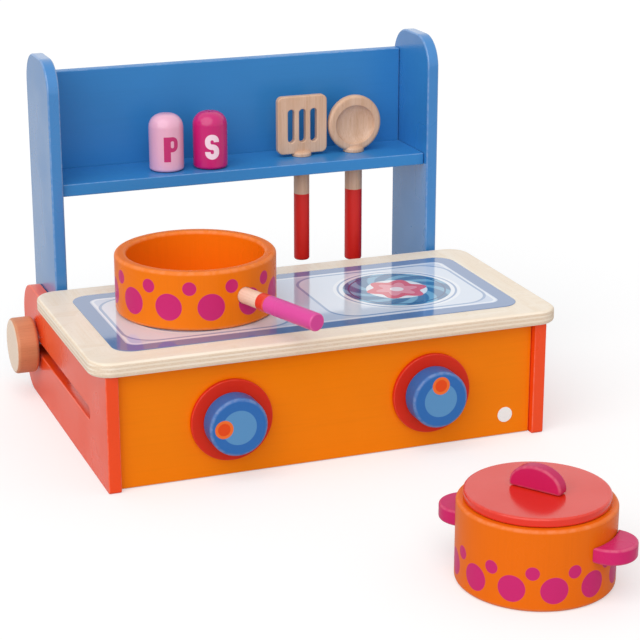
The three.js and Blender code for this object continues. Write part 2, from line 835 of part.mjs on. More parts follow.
function lid() {
  const spigot_radius = pot_radius - pot_wall - lid_spigot_gap;
  const spigot = turned_block(spigot_radius, lid_spigot_depth + lid_edge_radius * 2,
    lid_edge_radius, lid_edge_radius, large_round_steps);
  const disc = turned_block(lid_radius, lid_thickness, lid_edge_radius, lid_edge_radius,
    large_round_steps);
  const screw_hole = rod(lid_screw_radius + joint_gap, lid_spigot_depth + lid_thickness + cut_overrun * 2);
  const head_depth = lid_screw_head_height + joint_gap;
  const head_hole = rod(lid_screw_head_radius + joint_gap, head_depth + cut_overrun);
  const body = join([disc, spigot.translate(0, 0, -lid_spigot_depth)]);
  return cut(body, [
    screw_hole.translate(0, 0, -lid_spigot_depth - cut_overrun),
    head_hole.translate(0, 0, -lid_spigot_depth - cut_overrun),
  ]);
}

function lid_handle() {
  const half_width = lid_handle_width / 2;
  const rise = lid_handle_height - lid_handle_bulge_height;
  const foot_angle = Math.asin(lid_handle_bulge_height / rise);
  const outline = new THREE.Shape();
  outline.absellipse(0, lid_handle_bulge_height, half_width, rise, -foot_angle, half_turn + foot_angle);
  outline.closePath();
  const body = facing_front(board(outline, lid_handle_thickness, lid_handle_edge_radius));
  body.translate(0, lid_handle_thickness / 2, 0);
  const hole_depth = lid_screw_handle_depth + joint_gap;
  const hole = rod(lid_screw_radius + joint_gap, hole_depth + cut_overrun);
  return cut(body, [hole.translate(0, 0, -cut_overrun)]);
}

function lid_screw() {
  const handle_base = lid_thickness + joint_gap;
  const length = lid_spigot_depth + handle_base + lid_screw_handle_depth;
  return join([
    rod(lid_screw_head_radius, lid_screw_head_height),
    rod(lid_screw_radius, length),
  ]);
}

function build_pot() {
  const group = new THREE.Group();
  group.position.set(pot_x, pot_y, 0);
  group.rotation.z = THREE.MathUtils.degToRad(pot_handle_degrees);
  add_piece(group, "pot", pot_body(), orange_paint);
  for (const side of sides) {
    const arm = new THREE.Group();
    if (side.sign < 0) {
      arm.rotation.z = half_turn;
    }
    add_piece(arm, `pot_handle_${side.name}`, pot_handle(), magenta_paint, 0, 0, pot_handle_height);
    const dowel_start = pot_radius - pot_dowel_wall_depth + joint_gap;
    const dowel_length = pot_dowel_wall_depth - joint_gap + pot_dowel_handle_depth;
    const dowel = along_x(rod(dowel_radius, dowel_length, dowel_steps));
    add_piece(arm, `pot_handle_dowel_${side.name}`, dowel, beech, dowel_start, 0, pot_handle_height);
    group.add(arm);
  }
  const lid_z = pot_height + joint_gap;
  add_piece(group, "pot_lid", lid(), lid_paint, 0, 0, lid_z);
  add_piece(group, "lid_handle", lid_handle(), magenta_paint, 0, 0, lid_z + lid_thickness + joint_gap);
  add_piece(group, "lid_screw", lid_screw(), steel, 0, 0, lid_z - lid_spigot_depth);
  return group;
}

// Utensils: each is one piece of wood, drawn with the shelf's upper face at zero
function utensil_stem(handle_radius, handle_length, collar_radius, dome_height) {
  const path = new THREE.Path();
  path.moveTo(0, -handle_length);
  path.lineTo(handle_radius - handle_end_radius, -handle_length);
  path.absarc(handle_radius - handle_end_radius, handle_end_radius - handle_length, handle_end_radius,
    -quarter_turn, 0);
  path.lineTo(handle_radius, joint_gap);
  path.lineTo(collar_radius, joint_gap);
  path.lineTo(collar_radius, collar_height);
  path.absellipse(0, collar_height, collar_radius, dome_height, 0, quarter_turn);
  return turned(path, small_round_steps);
}

function spatula() {
  const half_width = spatula_width / 2;
  const outline = rounded_rectangle(-half_width, collar_height,
    half_width, collar_height + spatula_head_height, Array(4).fill(spatula_corner_radius));
  const blade = facing_front(board(outline, spatula_thickness, spatula_edge_radius));
  blade.translate(0, spatula_thickness / 2, 0);
  const stem = utensil_stem(spatula_handle_radius, spatula_handle_length,
    spatula_collar_radius, spatula_dome_height);
  const tools = [-1, 0, 1].map((place) => {
    const slot_radius = spatula_slot_width / 2;
    const half_run = spatula_slot_length / 2;
    const slot = rounded_rectangle(-slot_radius, -half_run, slot_radius, half_run,
      Array(4).fill(slot_radius));
    const tool = facing_front(plate(slot, spatula_thickness + cut_overrun * 2));
    return tool.translate(place * spatula_slot_pitch, spatula_thickness / 2 + cut_overrun,
      spatula_slot_height);
  });
  return cut(join([blade, stem]), tools);
}

function spoon() {
  const centre_height = joint_gap + spoon_head_height / 2;
  const outline = new THREE.Shape();
  outline.absellipse(0, centre_height, spoon_width / 2, spoon_head_height / 2, 0, full_turn);
  const head = facing_front(new THREE.ExtrudeGeometry(outline, {
    depth: spoon_thickness - spoon_edge_radius * 2,
    bevelThickness: spoon_edge_radius,
    bevelSize: spoon_edge_radius,
    bevelOffset: -spoon_edge_radius,
    bevelSegments: edge_steps,
    curveSegments: small_round_steps,
  }));
  head.translate(0, spoon_thickness / 2 - spoon_edge_radius, 0);
  const stem = utensil_stem(spoon_handle_radius, spoon_handle_length,
    spoon_collar_radius, spoon_dome_height);
  const bowl = new THREE.SphereGeometry(1, small_round_steps, sphere_rows);
  bowl.scale(spoon_bowl_width / 2, spoon_bowl_depth, spoon_bowl_height / 2);
  bowl.translate(0, -spoon_thickness / 2, spoon_bowl_centre_height);
  return cut(join([head, stem]), [bowl]);
}

function shaker() {
  const body = turned_block(shaker_radius, shaker_height, shaker_base_radius, shaker_top_radius,
    medium_round_steps, fine_profile_steps);
  const tools = [];
  for (let at = 0; at < shaker_holes; at += 1) {
    const angle = full_turn * at / shaker_holes;
    const hole = rod(shaker_hole_radius, shaker_hole_depth + cut_overrun, dowel_steps);
    hole.translate(shaker_hole_circle_radius * Math.cos(angle),
      shaker_hole_circle_radius * Math.sin(angle), shaker_height - shaker_hole_depth);
    tools.push(hole);
  }
  return cut(body, tools);
}

function build_shelf_set() {
  const set = new THREE.Group();
  set.position.z = shelf_top_height;
  add_piece(set, "spatula", spatula(), birch, spatula_x, utensil_y);
  add_piece(set, "spoon", spoon(), birch, spoon_x, utensil_y);
  add_piece(set, "pepper_shaker", shaker(), pink_paint, pepper_x, pepper_y, joint_gap);
  add_piece(set, "salt_shaker", shaker(), magenta_paint, salt_x, salt_y, joint_gap);
  return set;
}

const cooker = new THREE.Group();
cooker.add(build_box());
for (const side of sides) {
  cooker.add(build_knob(side));
  cooker.add(build_clamp(side));
}
cooker.add(build_rack());
cooker.add(build_saucepan());
cooker.add(build_pot());
cooker.add(build_shelf_set());

// The finished group stands over the centre of its own footprint.
const footprint = new THREE.Box3().setFromObject(cooker, true);
const centre = footprint.getCenter(new THREE.Vector3());
cooker.position.set(-centre.x, -centre.y, -footprint.min.z);

export default cooker;
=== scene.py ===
# %% [markdown]
# # A wooden play cooker with its pans, utensils and shakers
# The CAD frame already holds every board, knob, bolt and dowel of this toy at its real size. In
# this lesson each visible piece is made again with softly rounded edges, and gets its paint,
# lacquer or print from shader nodes. Hidden dowels and screws keep their CAD shape and only get a
# better material. Lengths in this file are in millimetres, and a mesh turns to metres when it is
# placed.

# %% Load the CAD frame
import json
import math
import bpy
import bmesh
from mathutils import Matrix, Vector


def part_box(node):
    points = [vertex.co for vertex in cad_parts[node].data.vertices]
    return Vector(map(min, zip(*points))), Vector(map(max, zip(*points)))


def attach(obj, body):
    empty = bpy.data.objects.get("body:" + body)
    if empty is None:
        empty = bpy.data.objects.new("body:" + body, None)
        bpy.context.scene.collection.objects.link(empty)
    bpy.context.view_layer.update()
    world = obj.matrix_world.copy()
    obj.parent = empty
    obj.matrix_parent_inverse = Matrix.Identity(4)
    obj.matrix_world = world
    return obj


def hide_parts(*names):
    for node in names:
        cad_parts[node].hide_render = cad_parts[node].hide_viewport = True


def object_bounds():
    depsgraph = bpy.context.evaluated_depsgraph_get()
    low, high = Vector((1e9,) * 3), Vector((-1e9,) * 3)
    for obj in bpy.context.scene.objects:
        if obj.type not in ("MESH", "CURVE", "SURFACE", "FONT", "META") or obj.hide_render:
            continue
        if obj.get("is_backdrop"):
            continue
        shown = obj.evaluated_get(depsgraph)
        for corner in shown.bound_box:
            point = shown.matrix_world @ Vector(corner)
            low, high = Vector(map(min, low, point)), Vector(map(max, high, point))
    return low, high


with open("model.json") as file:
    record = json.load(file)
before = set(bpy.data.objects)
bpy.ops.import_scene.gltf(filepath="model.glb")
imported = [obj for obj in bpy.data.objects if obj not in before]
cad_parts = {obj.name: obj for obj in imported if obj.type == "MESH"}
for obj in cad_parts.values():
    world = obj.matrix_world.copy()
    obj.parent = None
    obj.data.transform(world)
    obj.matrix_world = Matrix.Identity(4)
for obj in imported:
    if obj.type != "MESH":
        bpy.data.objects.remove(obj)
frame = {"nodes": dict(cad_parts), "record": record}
cad_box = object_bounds()
body_of = {}
for body, members in frame["record"]["behaviour"]["bodies"].items():
    for member in members:
        body_of[member] = body
slot_of = {part["node"]: part["material_slot"] for part in frame["record"]["subparts"]}

# %% [markdown]
# ## Sizes from the CAD model
# The dressed pieces have to fit the CAD model's joints. So their places and sizes come from the
# boxes of the CAD nodes wherever a box tells them. What no box tells, such as a corner's radius, is
# written out in the cell that needs it first. Heights are above the ground that the toy stands on.

# %% Boxes of the CAD nodes
MM = 0.001


def span(node):
    """Lowest and highest corner of a CAD node, in millimetres."""
    low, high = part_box(node)
    return Vector(low) / MM, Vector(high) / MM


print("the hob's top is", round(span("hob_top")[1].z, 1), "mm above the ground")

# %% [markdown]
# ## A small language for nodes: wires
# Shader and geometry maths gets long when every Math node is made by hand. A Wire wraps one output
# socket of a node, and plus, minus, times and divide on it add the Math nodes, so that a formula in
# this file reads as a formula.


# %% Wires
class Wire:
    """One output of a node. Arithmetic on it adds Math nodes to the same graph."""

    def __init__(self, graph, socket):
        self.graph = graph
        self.socket = socket

    def __add__(self, other):
        return self.graph.math("ADD", self, other)

    def __sub__(self, other):
        return self.graph.math("SUBTRACT", self, other)

    def __rsub__(self, other):
        return self.graph.math("SUBTRACT", other, self)

    def __mul__(self, other):
        return self.graph.math("MULTIPLY", self, other)

    def __truediv__(self, other):
        return self.graph.math("DIVIDE", self, other)

    def __abs__(self):
        return self.graph.math("ABSOLUTE", self)

    __radd__ = __add__
    __rmul__ = __mul__

    def other(self, output):
        """Another output of the node that this wire leaves."""
        return Wire(self.graph, self.socket.node.outputs[output])


print("wires ready")

# %% [markdown]
# ## A small language for nodes: graphs
# A Graph fills one node tree. Its add method makes any node from its type, its settings and the
# values or wires of its sockets, so shader trees and geometry trees are built the same way.


# %% Graphs
class Graph:
    """A node tree under construction."""

    def __init__(self, tree):
        self.tree = tree

    def add(self, kind, settings=None, sockets=None, output=0):
        node = self.tree.nodes.new(kind)
        for name, value in (settings or {}).items():
            setattr(node, name, value)
        for name, value in (sockets or {}).items():
            self.feed(node.inputs[name], value)
        return Wire(self, node.outputs[output])

    def feed(self, socket, value):
        if isinstance(value, Wire):
            self.tree.links.new(value.socket, socket)
        else:
            socket.default_value = value

    def math(self, operation, *values):
        return self.add("ShaderNodeMath", {"operation": operation}, dict(enumerate(values)))

    def length(self, x, y):
        """How far a point is from the origin of a plane."""
        return self.math("SQRT", x * x + y * y)

    def wave(self, turn, angle):
        """A sine or cosine that runs between 0 and 1."""
        return self.math(turn, angle) * 0.5 + 0.5

    def combine(self, x, y, z):
        return self.add("ShaderNodeCombineXYZ", None, {0: x, 1: y, 2: z})

    def split(self, vector):
        first = self.add("ShaderNodeSeparateXYZ", None, {0: vector})
        return first, first.other(1), first.other(2)


print("graphs ready")

# %% [markdown]
# ## Colours
# Paint makers and pictures give a colour as it looks on a screen, while shaders work with the
# amount of light. The colours in this file are written in the short screen form and turned to light
# here, so a tone can be compared with a colour picked from any picture.


# %% Colours
def paint(code, factor=1.0):
    """A colour written as six hexadecimal digits, as the linear colour that shaders use."""
    tone = []
    for at in (0, 2, 4):
        level = int(code[at:at + 2], 16) / 255
        linear = level / 12.92 if level <= 0.04045 else ((level + 0.055) / 1.055) ** 2.4
        tone.append(min(1.0, linear * factor))
    return (*tone, 1.0)


print("sample colour:", [round(level, 3) for level in paint("ec7a08")])

# %% [markdown]
# ## Patterns in millimetres
# Grain, dots and letters have a real size, so patterns are drawn in millimetres. They read Object
# coordinates, which stay with a piece when it moves. An unwrapped image would need seams and
# pixels, while these patterns fill the solid and meet at every edge, as the grain of wood does.


# %% Patterns
class Patterns(Graph):
    """A shader tree that can draw noise and forms in millimetres."""

    def __init__(self, tree):
        super().__init__(tree)
        self.place = self.add("ShaderNodeTexCoord", output="Object")

    def stretch(self, scale, vector=None):
        """The place times a scale for each axis, in turns per millimetre."""
        factors = tuple(each / MM for each in scale)
        return self.add("ShaderNodeVectorMath", {"operation": "MULTIPLY"},
                        {0: vector or self.place, 1: factors})

    def xyz(self):
        """The place on the object as three wires in millimetres."""
        return self.split(self.stretch((1, 1, 1)))

    def facing(self):
        """The way that the surface faces, as three wires."""
        return self.split(self.add("ShaderNodeTexCoord", output="Normal"))

    def noise(self, scale, detail=2.0, vector=None):
        """Noise with one scale for all axes, or with a scale for each."""
        scales = scale if isinstance(scale, tuple) else (scale,) * 3
        return self.add("ShaderNodeTexNoise", None,
                        {"Vector": self.stretch(scales, vector), "Scale": 1.0, "Detail": detail})

    def fibres(self, scales, grain, detail, vector=None):
        """Noise with one scale along the grain's axis and another across it."""
        along, across = scales
        by_axis = tuple(along if axis == grain else across for axis in range(3))
        return self.noise(by_axis, detail, vector)

    def step(self, value, low, high):
        """Rises smoothly from 0 at low to 1 at high."""
        return self.add("ShaderNodeMapRange", {"interpolation_type": "SMOOTHSTEP"},
                        {"Value": value, "From Min": low, "From Max": high})

    def mix(self, amount, first, second):
        return self.add("ShaderNodeMix", {"data_type": "RGBA"}, {0: amount, 6: first, 7: second}, 2)


print("pattern helpers ready")

# %% [markdown]
# ## One finish, one material
# A Finish is a material with its Principled shader. It can read a value that the mesh carries, such
# as the edge value of the boards, press a relief into the surface, and feed the shader by the names
# of its sockets.


# %% Finishes
class Finish(Patterns):
    """A material under construction."""

    def __init__(self, name):
        self.material = bpy.data.materials.new(name)
        self.material.use_nodes = True
        super().__init__(self.material.node_tree)
        self.shader = self.tree.nodes["Principled BSDF"]

    def attribute(self, name):
        return self.add("ShaderNodeAttribute", {"attribute_name": name}, output="Fac")

    def bump(self, height, depth):
        """Relief whose full height is depth millimetres."""
        self.feed(self.shader.inputs["Normal"], self.add(
            "ShaderNodeBump", None, {"Height": height, "Distance": depth * MM, "Strength": 1.0}))

    def finish(self, **sockets):
        """The material, once these sockets of its shader are fed."""
        for name, value in sockets.items():
            self.feed(self.shader.inputs[name.replace("_", " ")], value)
        return self.material


print("finish helpers ready")

# %% [markdown]
# ## Satin paint on wood
# The boards are sprayed with a satin paint. It is nearly even, with broad faint clouds, a fine
# orange-peel relief and a hint of the grain below, which are three noises of different scale. On
# rounded edges the colour turns paler in places: partly the paint worn thin, where a much used toy
# wears first, and partly a painted highlight along the rounding. One function makes every paint,
# since only its tone, its grain and its gloss differ.

# %% Painted wood
CLOUDS, PEEL, PATCHES = 0.016, 0.9, 0.22
PAINTED_FIBRES = (0.02, 0.55)
COAT_ROUGHNESS = 0.15


def painted(name, tone, grain=0, roughness=0.34, wear_and_highlight=0.4, printed=None, coat=0.03, gloss=0.2):
    """Satin paint. grain is the axis of the wood's fibres; printed adds a pattern to the colour."""
    f = Finish(name)
    cloud = f.noise(CLOUDS, 3.0)
    fibre = f.fibres(PAINTED_FIBRES, grain, 3.0)
    peel = f.noise(PEEL, 1.0)
    colour = f.mix(f.step(cloud, 0.35, 0.75) * 0.3, paint(tone), paint(tone, 0.86))
    colour = f.mix(f.step(fibre, 0.45, 0.8) * 0.16, colour, paint(tone, 0.8))
    if printed:
        colour = printed(f, colour)
    # Rounded edges turn paler in patches: partly worn paint, partly a painted highlight along the
    # rounding.
    patches = f.step(f.noise(PATCHES), 0.38, 0.62)
    edge = f.attribute("edge") * (patches * 0.6 + 0.4)
    colour = f.mix(edge * wear_and_highlight, colour, f.mix(0.35, paint(tone, 1.15), paint("f6e6d0")))
    f.bump(peel * 0.55 + fibre * 0.45, 0.035)
    shine = f.step(cloud, 0.3, 0.7) * 0.1 + edge * 0.12 + (roughness - 0.05)
    lacquer = f.step(cloud, 0.8, 0.3) * (0.3 * coat) + 0.7 * coat
    return f.finish(Base_Color=colour, Roughness=shine, Coat_Weight=lacquer,
                    Coat_Roughness=COAT_ROUGHNESS, Specular_IOR_Level=gloss)


side_paint = painted("red-orange side paint", "f64a10", grain=1, roughness=0.3, coat=0.5)
disc_paint = painted("red disc paint", "dc2c14", grain=0, wear_and_highlight=0.12)
front_paint = painted("orange front paint", "f98304", grain=0, gloss=0.1)
post_paint = painted("blue post paint", "3383c7", grain=2, roughness=0.3, gloss=0.4, coat=1.0)
shelf_paint = painted("blue shelf paint", "3786c8", grain=0, gloss=0.25)
print("paints:", [m.name for m in bpy.data.materials if "paint" in m.name])

# %% [markdown]
# ## Natural wood
# Beech and birch show through a clear lacquer. A slow noise drawn out along the fibres, sent
# through a sine, gives the rings. A fine noise gives the fibres and a sharper one the short dark
# flecks of beech. The grain is solid, so a board's face and its end belong together, as in cut
# wood.

# %% Natural wood
FIGURE, WOOD_FIBRES, FLECKS = (0.0035, 0.032), (0.02, 1.1), (0.22, 2.1)
WOOD_ROUGHNESS, WOOD_RELIEF = 0.42, 0.05


def wood_grain(f, light, dark, grain, vector=None, rings=42.0, contrast=1.0):
    """Colour and relief of wood whose fibres run along one axis."""
    figure = f.wave("SINE", f.fibres(FIGURE, grain, 2.0, vector) * rings)
    fibre = f.fibres(WOOD_FIBRES, grain, 4.0, vector)
    fleck = f.step(f.fibres(FLECKS, grain, 1.0, vector), 0.63, 0.72)
    depth = figure * (0.38 * contrast) + f.step(fibre, 0.3, 0.75) * (0.45 * contrast)
    colour = f.mix(fleck * 0.3, f.mix(depth, light, dark), f.mix(0.5, dark, paint("7a4a24")))
    return colour, fibre * 0.7 - fleck * 0.3


def natural(name, light, dark, grain, printed=None):
    f = Finish(name)
    colour, relief = wood_grain(f, paint(light), paint(dark), grain)
    if printed:
        colour = printed(f, colour)
    f.bump(relief, WOOD_RELIEF)
    return f.finish(Base_Color=colour, Roughness=relief * 0.12 + WOOD_ROUGHNESS, Coat_Weight=0.06)


beech_across = natural("beech, fibres along X", "e2b184", "c98f5e", 0)
dowel_wood = natural("dowel wood", "dcb482", "c0925c", 0)
print("woods:", beech_across.name, "and", dowel_wood.name)

# %% [markdown]
# ## Metals
# The bolts, shafts and washers are zinc-plated steel and the inserts are brass. Both get fine tool
# marks in their relief and a mottled roughness, since plating is never quite even. A smooth grey
# would look like plastic.


# %% Metals
def metal(name, tone, darker, roughness):
    f = Finish(name)
    mottle = f.noise(0.35, 3.0)
    f.bump(f.fibres((0.6, 6.0), 0, 2.0), 0.012)
    colour = f.mix(f.step(mottle, 0.35, 0.7), paint(tone), paint(darker))
    return f.finish(Base_Color=colour, Roughness=mottle * 0.25 + (roughness - 0.1), Metallic=1.0)


steel = metal("zinc-plated steel", "c9ccd0", "a9adb3", 0.32)
brass = metal("brass", "d9b65a", "b98f3a", 0.34)
print("metals:", steel.name, "and", brass.name)

# %% [markdown]
# ## Materials for the hidden pieces
# Dowels, bolts, nuts and inserts show only when the toy is seen from behind or below. Their CAD
# shapes are right as they are, so these nodes stay, and only their material slots are filled anew.

# %% Hidden pieces
hidden_finishes = {"steel": steel, "brass": brass, "dowel_wood": dowel_wood,
                   "natural_beech": beech_across}
refinished = [name for name in frame["nodes"] if slot_of[name] in hidden_finishes]
for name in refinished:
    materials = frame["nodes"][name].data.materials
    materials.clear()
    materials.append(hidden_finishes[slot_of[name]])
print("CAD nodes with a new material:", len(refinished))

# %% [markdown]
# ## Outlines
# The boards of the toy are sawn to flat shapes with round corners, so each one starts as a closed
# outline. A curve object could draw it. Points worked out from arcs keep every radius exact, and
# give every copy of an outline the same points, which the rings below rely on.


# %% Outlines
def arc(x, y, radius, start, end, steps=12, squeeze=1.0):
    """Points of an arc from one angle to another, in degrees; squeeze flattens it along y."""
    points = []
    for at in range(steps + 1):
        angle = math.radians(start + (end - start) * at / steps)
        points.append((x + radius * math.cos(angle), y + radius * squeeze * math.sin(angle)))
    return points


def rounded(left, bottom, right, top, radii, steps=12):
    """A rectangle whose corners have their own radii, from the low left corner round."""
    a, b, c, d = radii
    return [*arc(left + a, bottom + a, a, 180, 270, steps),
            *arc(right - b, bottom + b, b, 270, 360, steps),
            *arc(right - c, top - c, c, 0, 90, steps), *arc(left + d, top - d, d, 90, 180, steps)]


def circle(x, y, radius, steps=40):
    return arc(x, y, radius, 0, 360, steps)[:-1]


print("points round a hole:", len(circle(0, 0, 1)))

# %% [markdown]
# ## Placing a drawing
# An outline is drawn flat, and a turned piece is drawn upright. A matrix of three axes and an
# origin takes either to where its piece belongs, and turns millimetres to metres. It is applied to
# the mesh, so every object stays at the origin, as the CAD nodes do, and patterns don't slide.

# %% Placing
X, Y, Z = Vector((1, 0, 0)), Vector((0, 1, 0)), Vector((0, 0, 1))


def placed(u, v, w, origin):
    """The matrix that takes a drawing's three axes, in millimetres, to the scene, in metres."""
    turn = Matrix((u, v, w)).transposed().to_4x4()
    return Matrix.Scale(MM, 4) @ Matrix.Translation(origin) @ turn


def standing(middle, height):
    """The place of a drawing that stands upright on this height, round this middle."""
    return placed(X, Y, Z, (middle.x, middle.y, height))


def linked(name, data):
    """A new object in the scene."""
    thing = bpy.data.objects.new(name, data)
    bpy.context.scene.collection.objects.link(thing)
    return thing


print("one millimetre becomes", round(placed(X, Y, Z, (0, 0, 0))[0][0], 4), "m")

# %% [markdown]
# ## Clean meshes
# A solid should be one closed skin whose faces all point outwards, or light and exports go wrong.
# Joined rings leave doubled points, and cuts leave thin slivers. So every new mesh is merged a
# little, and Blender then works out which way is out.

# %% Clean meshes
MERGED = 1e-3


def faced_out(mesh):
    """The same mesh with doubled points and slivers merged and every face pointing out."""
    form = bmesh.new()
    form.from_mesh(mesh)
    bmesh.ops.remove_doubles(form, verts=form.verts, dist=MERGED)
    bmesh.ops.dissolve_degenerate(form, edges=form.edges, dist=MERGED)
    bmesh.ops.recalc_face_normals(form, faces=form.faces)
    form.to_mesh(mesh)
    form.free()
    return mesh


def mesh_of(form):
    """The clean mesh of a form that was built point by point."""
    mesh = bpy.data.meshes.new("form")
    form.to_mesh(mesh)
    form.free()
    return faced_out(mesh)


print("points closer than", MERGED, "mm are merged")

# %% [markdown]
# ## Cuts and joints
# Holes are drilled and forms are glued on the real toy, and a Boolean modifier does both to a mesh.
# Where a hole meets a round wall, its rim would be hard to work out by hand, and the cut finds it.
# The modifier's result is kept as a plain mesh, so nothing live is left on the piece.


# %% Cuts and joints
def evaluated(blank):
    """The plain mesh that an object's modifiers make. The object itself goes."""
    bpy.context.view_layer.update()
    seen = blank.evaluated_get(bpy.context.evaluated_depsgraph_get())
    mesh = bpy.data.meshes.new_from_object(seen)
    bpy.data.objects.remove(blank)
    return mesh


def with_tool(mesh, tool, operation="DIFFERENCE"):
    """The mesh cut by, or joined to, another mesh."""
    other, blank = linked("tool", tool), linked("blank", mesh)
    cut = blank.modifiers.new("cut", "BOOLEAN")
    cut.operation, cut.object, cut.solver = operation, other, "EXACT"
    result = faced_out(evaluated(blank))
    bpy.data.objects.remove(other)
    return result


print("cutting helpers ready")

# %% [markdown]
# ## Rings
# The edges of the boards are rounded by sanding. A Bevel modifier could round them. Here copies of
# the outline are moved inwards a little and stacked instead, because each of these rings carries a
# value called edge, which is high on the rounding, and the paint reads it to turn paler there:
# partly worn paint, partly a painted highlight along the rounding.


# %% Rings
def inset(ring, distance):
    """A closed outline moved inwards; a distance below zero moves it outwards."""
    moved = []
    for at, point in enumerate(ring):
        here, after = Vector(point), Vector(ring[(at + 1) % len(ring)])
        before = Vector(ring[at - 1])
        first, second = (here - before).normalized(), (after - here).normalized()
        inwards = Vector((-first.y - second.y, first.x + second.x))
        moved.append(here + inwards * (distance / (1 + first.dot(second))))
    return moved


def stacked(ring, levels):
    """The same outline at several levels, each an inset, a height and an edge value."""
    return [([(*point, height) for point in inset(ring, distance)], edge)
            for distance, height, edge in levels]


def rim_levels(thickness, radius, segments, flip=1):
    """Levels up a board's wall, from its lower face round both edges to its upper face."""
    quarter = []
    for at in range(segments + 1):
        angle = math.pi / 2 * at / segments
        quarter.append((flip * radius * (1 - math.cos(angle)), radius * math.sin(angle),
                        math.sin(2 * angle) ** 0.5))
    lower = [(distance, radius - height, edge) for distance, height, edge in reversed(quarter)]
    upper = [(distance, thickness - radius + height, edge) for distance, height, edge in quarter]
    return lower + upper


print("levels up a board's wall:", len(rim_levels(10, 1, 3)))

# %% [markdown]
# ## A skin over the rings
# Faces between the rings make the walls, round the board and down each of its holes. What is left
# open is the flat face on either side, bounded by all the last rings at once. Triangle fill closes
# such a face with its holes, which a single many-sided face can't do.


# %% Skins
def walls(form, rows):
    """Faces between rings of points, each ring joined to the next one."""
    for low, high in zip(rows, rows[1:]):
        for at in range(len(low)):
            form.faces.new((low[at - 1], low[at], high[at], high[at - 1]))


def skin(columns):
    """A closed solid: walls up each column of rings, and flat ends inside the first one's rim."""
    form = bmesh.new()
    mark = form.verts.layers.float.new("edge")
    ends = ([], [])
    for rings in columns:
        rows = []
        for points, edge in rings:
            rows.append([form.verts.new(point) for point in points])
            for vertex in rows[-1]:
                vertex[mark] = edge
        walls(form, rows)
        for end, row in zip(ends, (rows[0], rows[-1])):
            end += [form.edges.get((row[at - 1], row[at])) for at in range(len(row))]
    for end in ends:
        bmesh.ops.triangle_fill(form, edges=end, use_beauty=True)
    return mesh_of(form)


print("skin helpers ready")

# %% [markdown]
# ## Boards, cutters and drills
# A board is one column of rings for its outline and one for each hole. A cutter is the form that a
# hole with rounded rims takes out, so it is wide at both faces of the board and passes them a
# little.

# %% Boards, cutters and drills
BOARD_EDGE = 0.9
PAST = 1.0


def board(outline, holes, thickness, radius=BOARD_EDGE, segments=3):
    """A board with softly rounded edges, also round its holes."""
    columns = [stacked(outline, rim_levels(thickness, radius, segments))]
    columns += [stacked(hole, rim_levels(thickness, radius, segments, -1)) for hole in holes]
    return skin(columns)


def cutter(outline, thickness, radius, segments=4):
    """What a hole with rounded rims takes out of a board."""
    levels = rim_levels(thickness, radius, segments, -1)
    start, end = (-radius, -PAST, 0.0), (-radius, thickness + PAST, 0.0)
    return skin([stacked(outline, [start, *levels, end])])


def rod(radius, length):
    """A plain drill."""
    return skin([stacked(circle(0, 0, radius), [(0.0, 0.0, 0.0), (0.0, length, 0.0)])])


print("a drill has", len(rod(1.0, 1.0).polygons), "faces")

# %% [markdown]
# ## Geometry node trees
# What repeats or follows a rule on this toy is made by geometry nodes: turned pieces, the slots of
# the spatula and the holes of the shakers. Each tree names its inputs, and ends in Realize
# Instances and Set Material, because the export keeps neither instances nor a material given later.


# %% Starting, ending and running a tree
def tree_with(name, *numbers):
    """A new tree with a mesh input and these inputs, and the sockets of its group input."""
    tree = bpy.data.node_groups.new(name, "GeometryNodeTree")
    tree.interface.new_socket("Geometry", in_out="INPUT", socket_type="NodeSocketGeometry")
    for label, kind in numbers:
        tree.interface.new_socket(label, in_out="INPUT", socket_type="NodeSocket" + kind)
    tree.interface.new_socket("Geometry", in_out="OUTPUT", socket_type="NodeSocketGeometry")
    graph = Graph(tree)
    first = graph.add("NodeGroupInput")
    return graph, [first] + [first.other(label) for label, _ in numbers]


def tree_end(graph, shape, material):
    """Ends a tree in Realize Instances and Set Material."""
    solid = graph.add("GeometryNodeRealizeInstances", None, {0: shape})
    dressed = graph.add("GeometryNodeSetMaterial", None, {"Geometry": solid, "Material": material})
    end = graph.tree.nodes.new("NodeGroupOutput")
    graph.feed(end.inputs[0], dressed)
    return graph.tree


def taken_away(graph, body, tools):
    """The body without any of these instances."""
    solid = graph.add("GeometryNodeRealizeInstances", None, {0: tools})
    return graph.add("GeometryNodeMeshBoolean", {"operation": "DIFFERENCE", "solver": "EXACT"},
                     {"Mesh 1": body, "Mesh 2": solid})


def run_tree(mesh, tree, **inputs):
    """A new mesh: the old one after a tree whose inputs are set by their identifiers."""
    blank = linked("blank", mesh)
    modifier = blank.modifiers.new(tree.name, "NODES")
    modifier.node_group = tree
    for item in tree.interface.items_tree:
        label = item.name.replace(" ", "_")
        if item.in_out == "INPUT" and label in inputs:
            modifier[item.identifier] = inputs[label]
    blank.update_tag()
    return evaluated(blank)


print("tree helpers ready")

# %% [markdown]
# ## The lathe
# Knobs, pans, pegs, collars, lids and shakers are all turned: one profile, swept round an axis. The
# tree lays a grid with a row for each profile point and a column for each step round, then moves
# every grid point to its row's radius and height. The same rows carry the edge value along.

# %% A lathe as a geometry node tree
WELDED = 1e-4


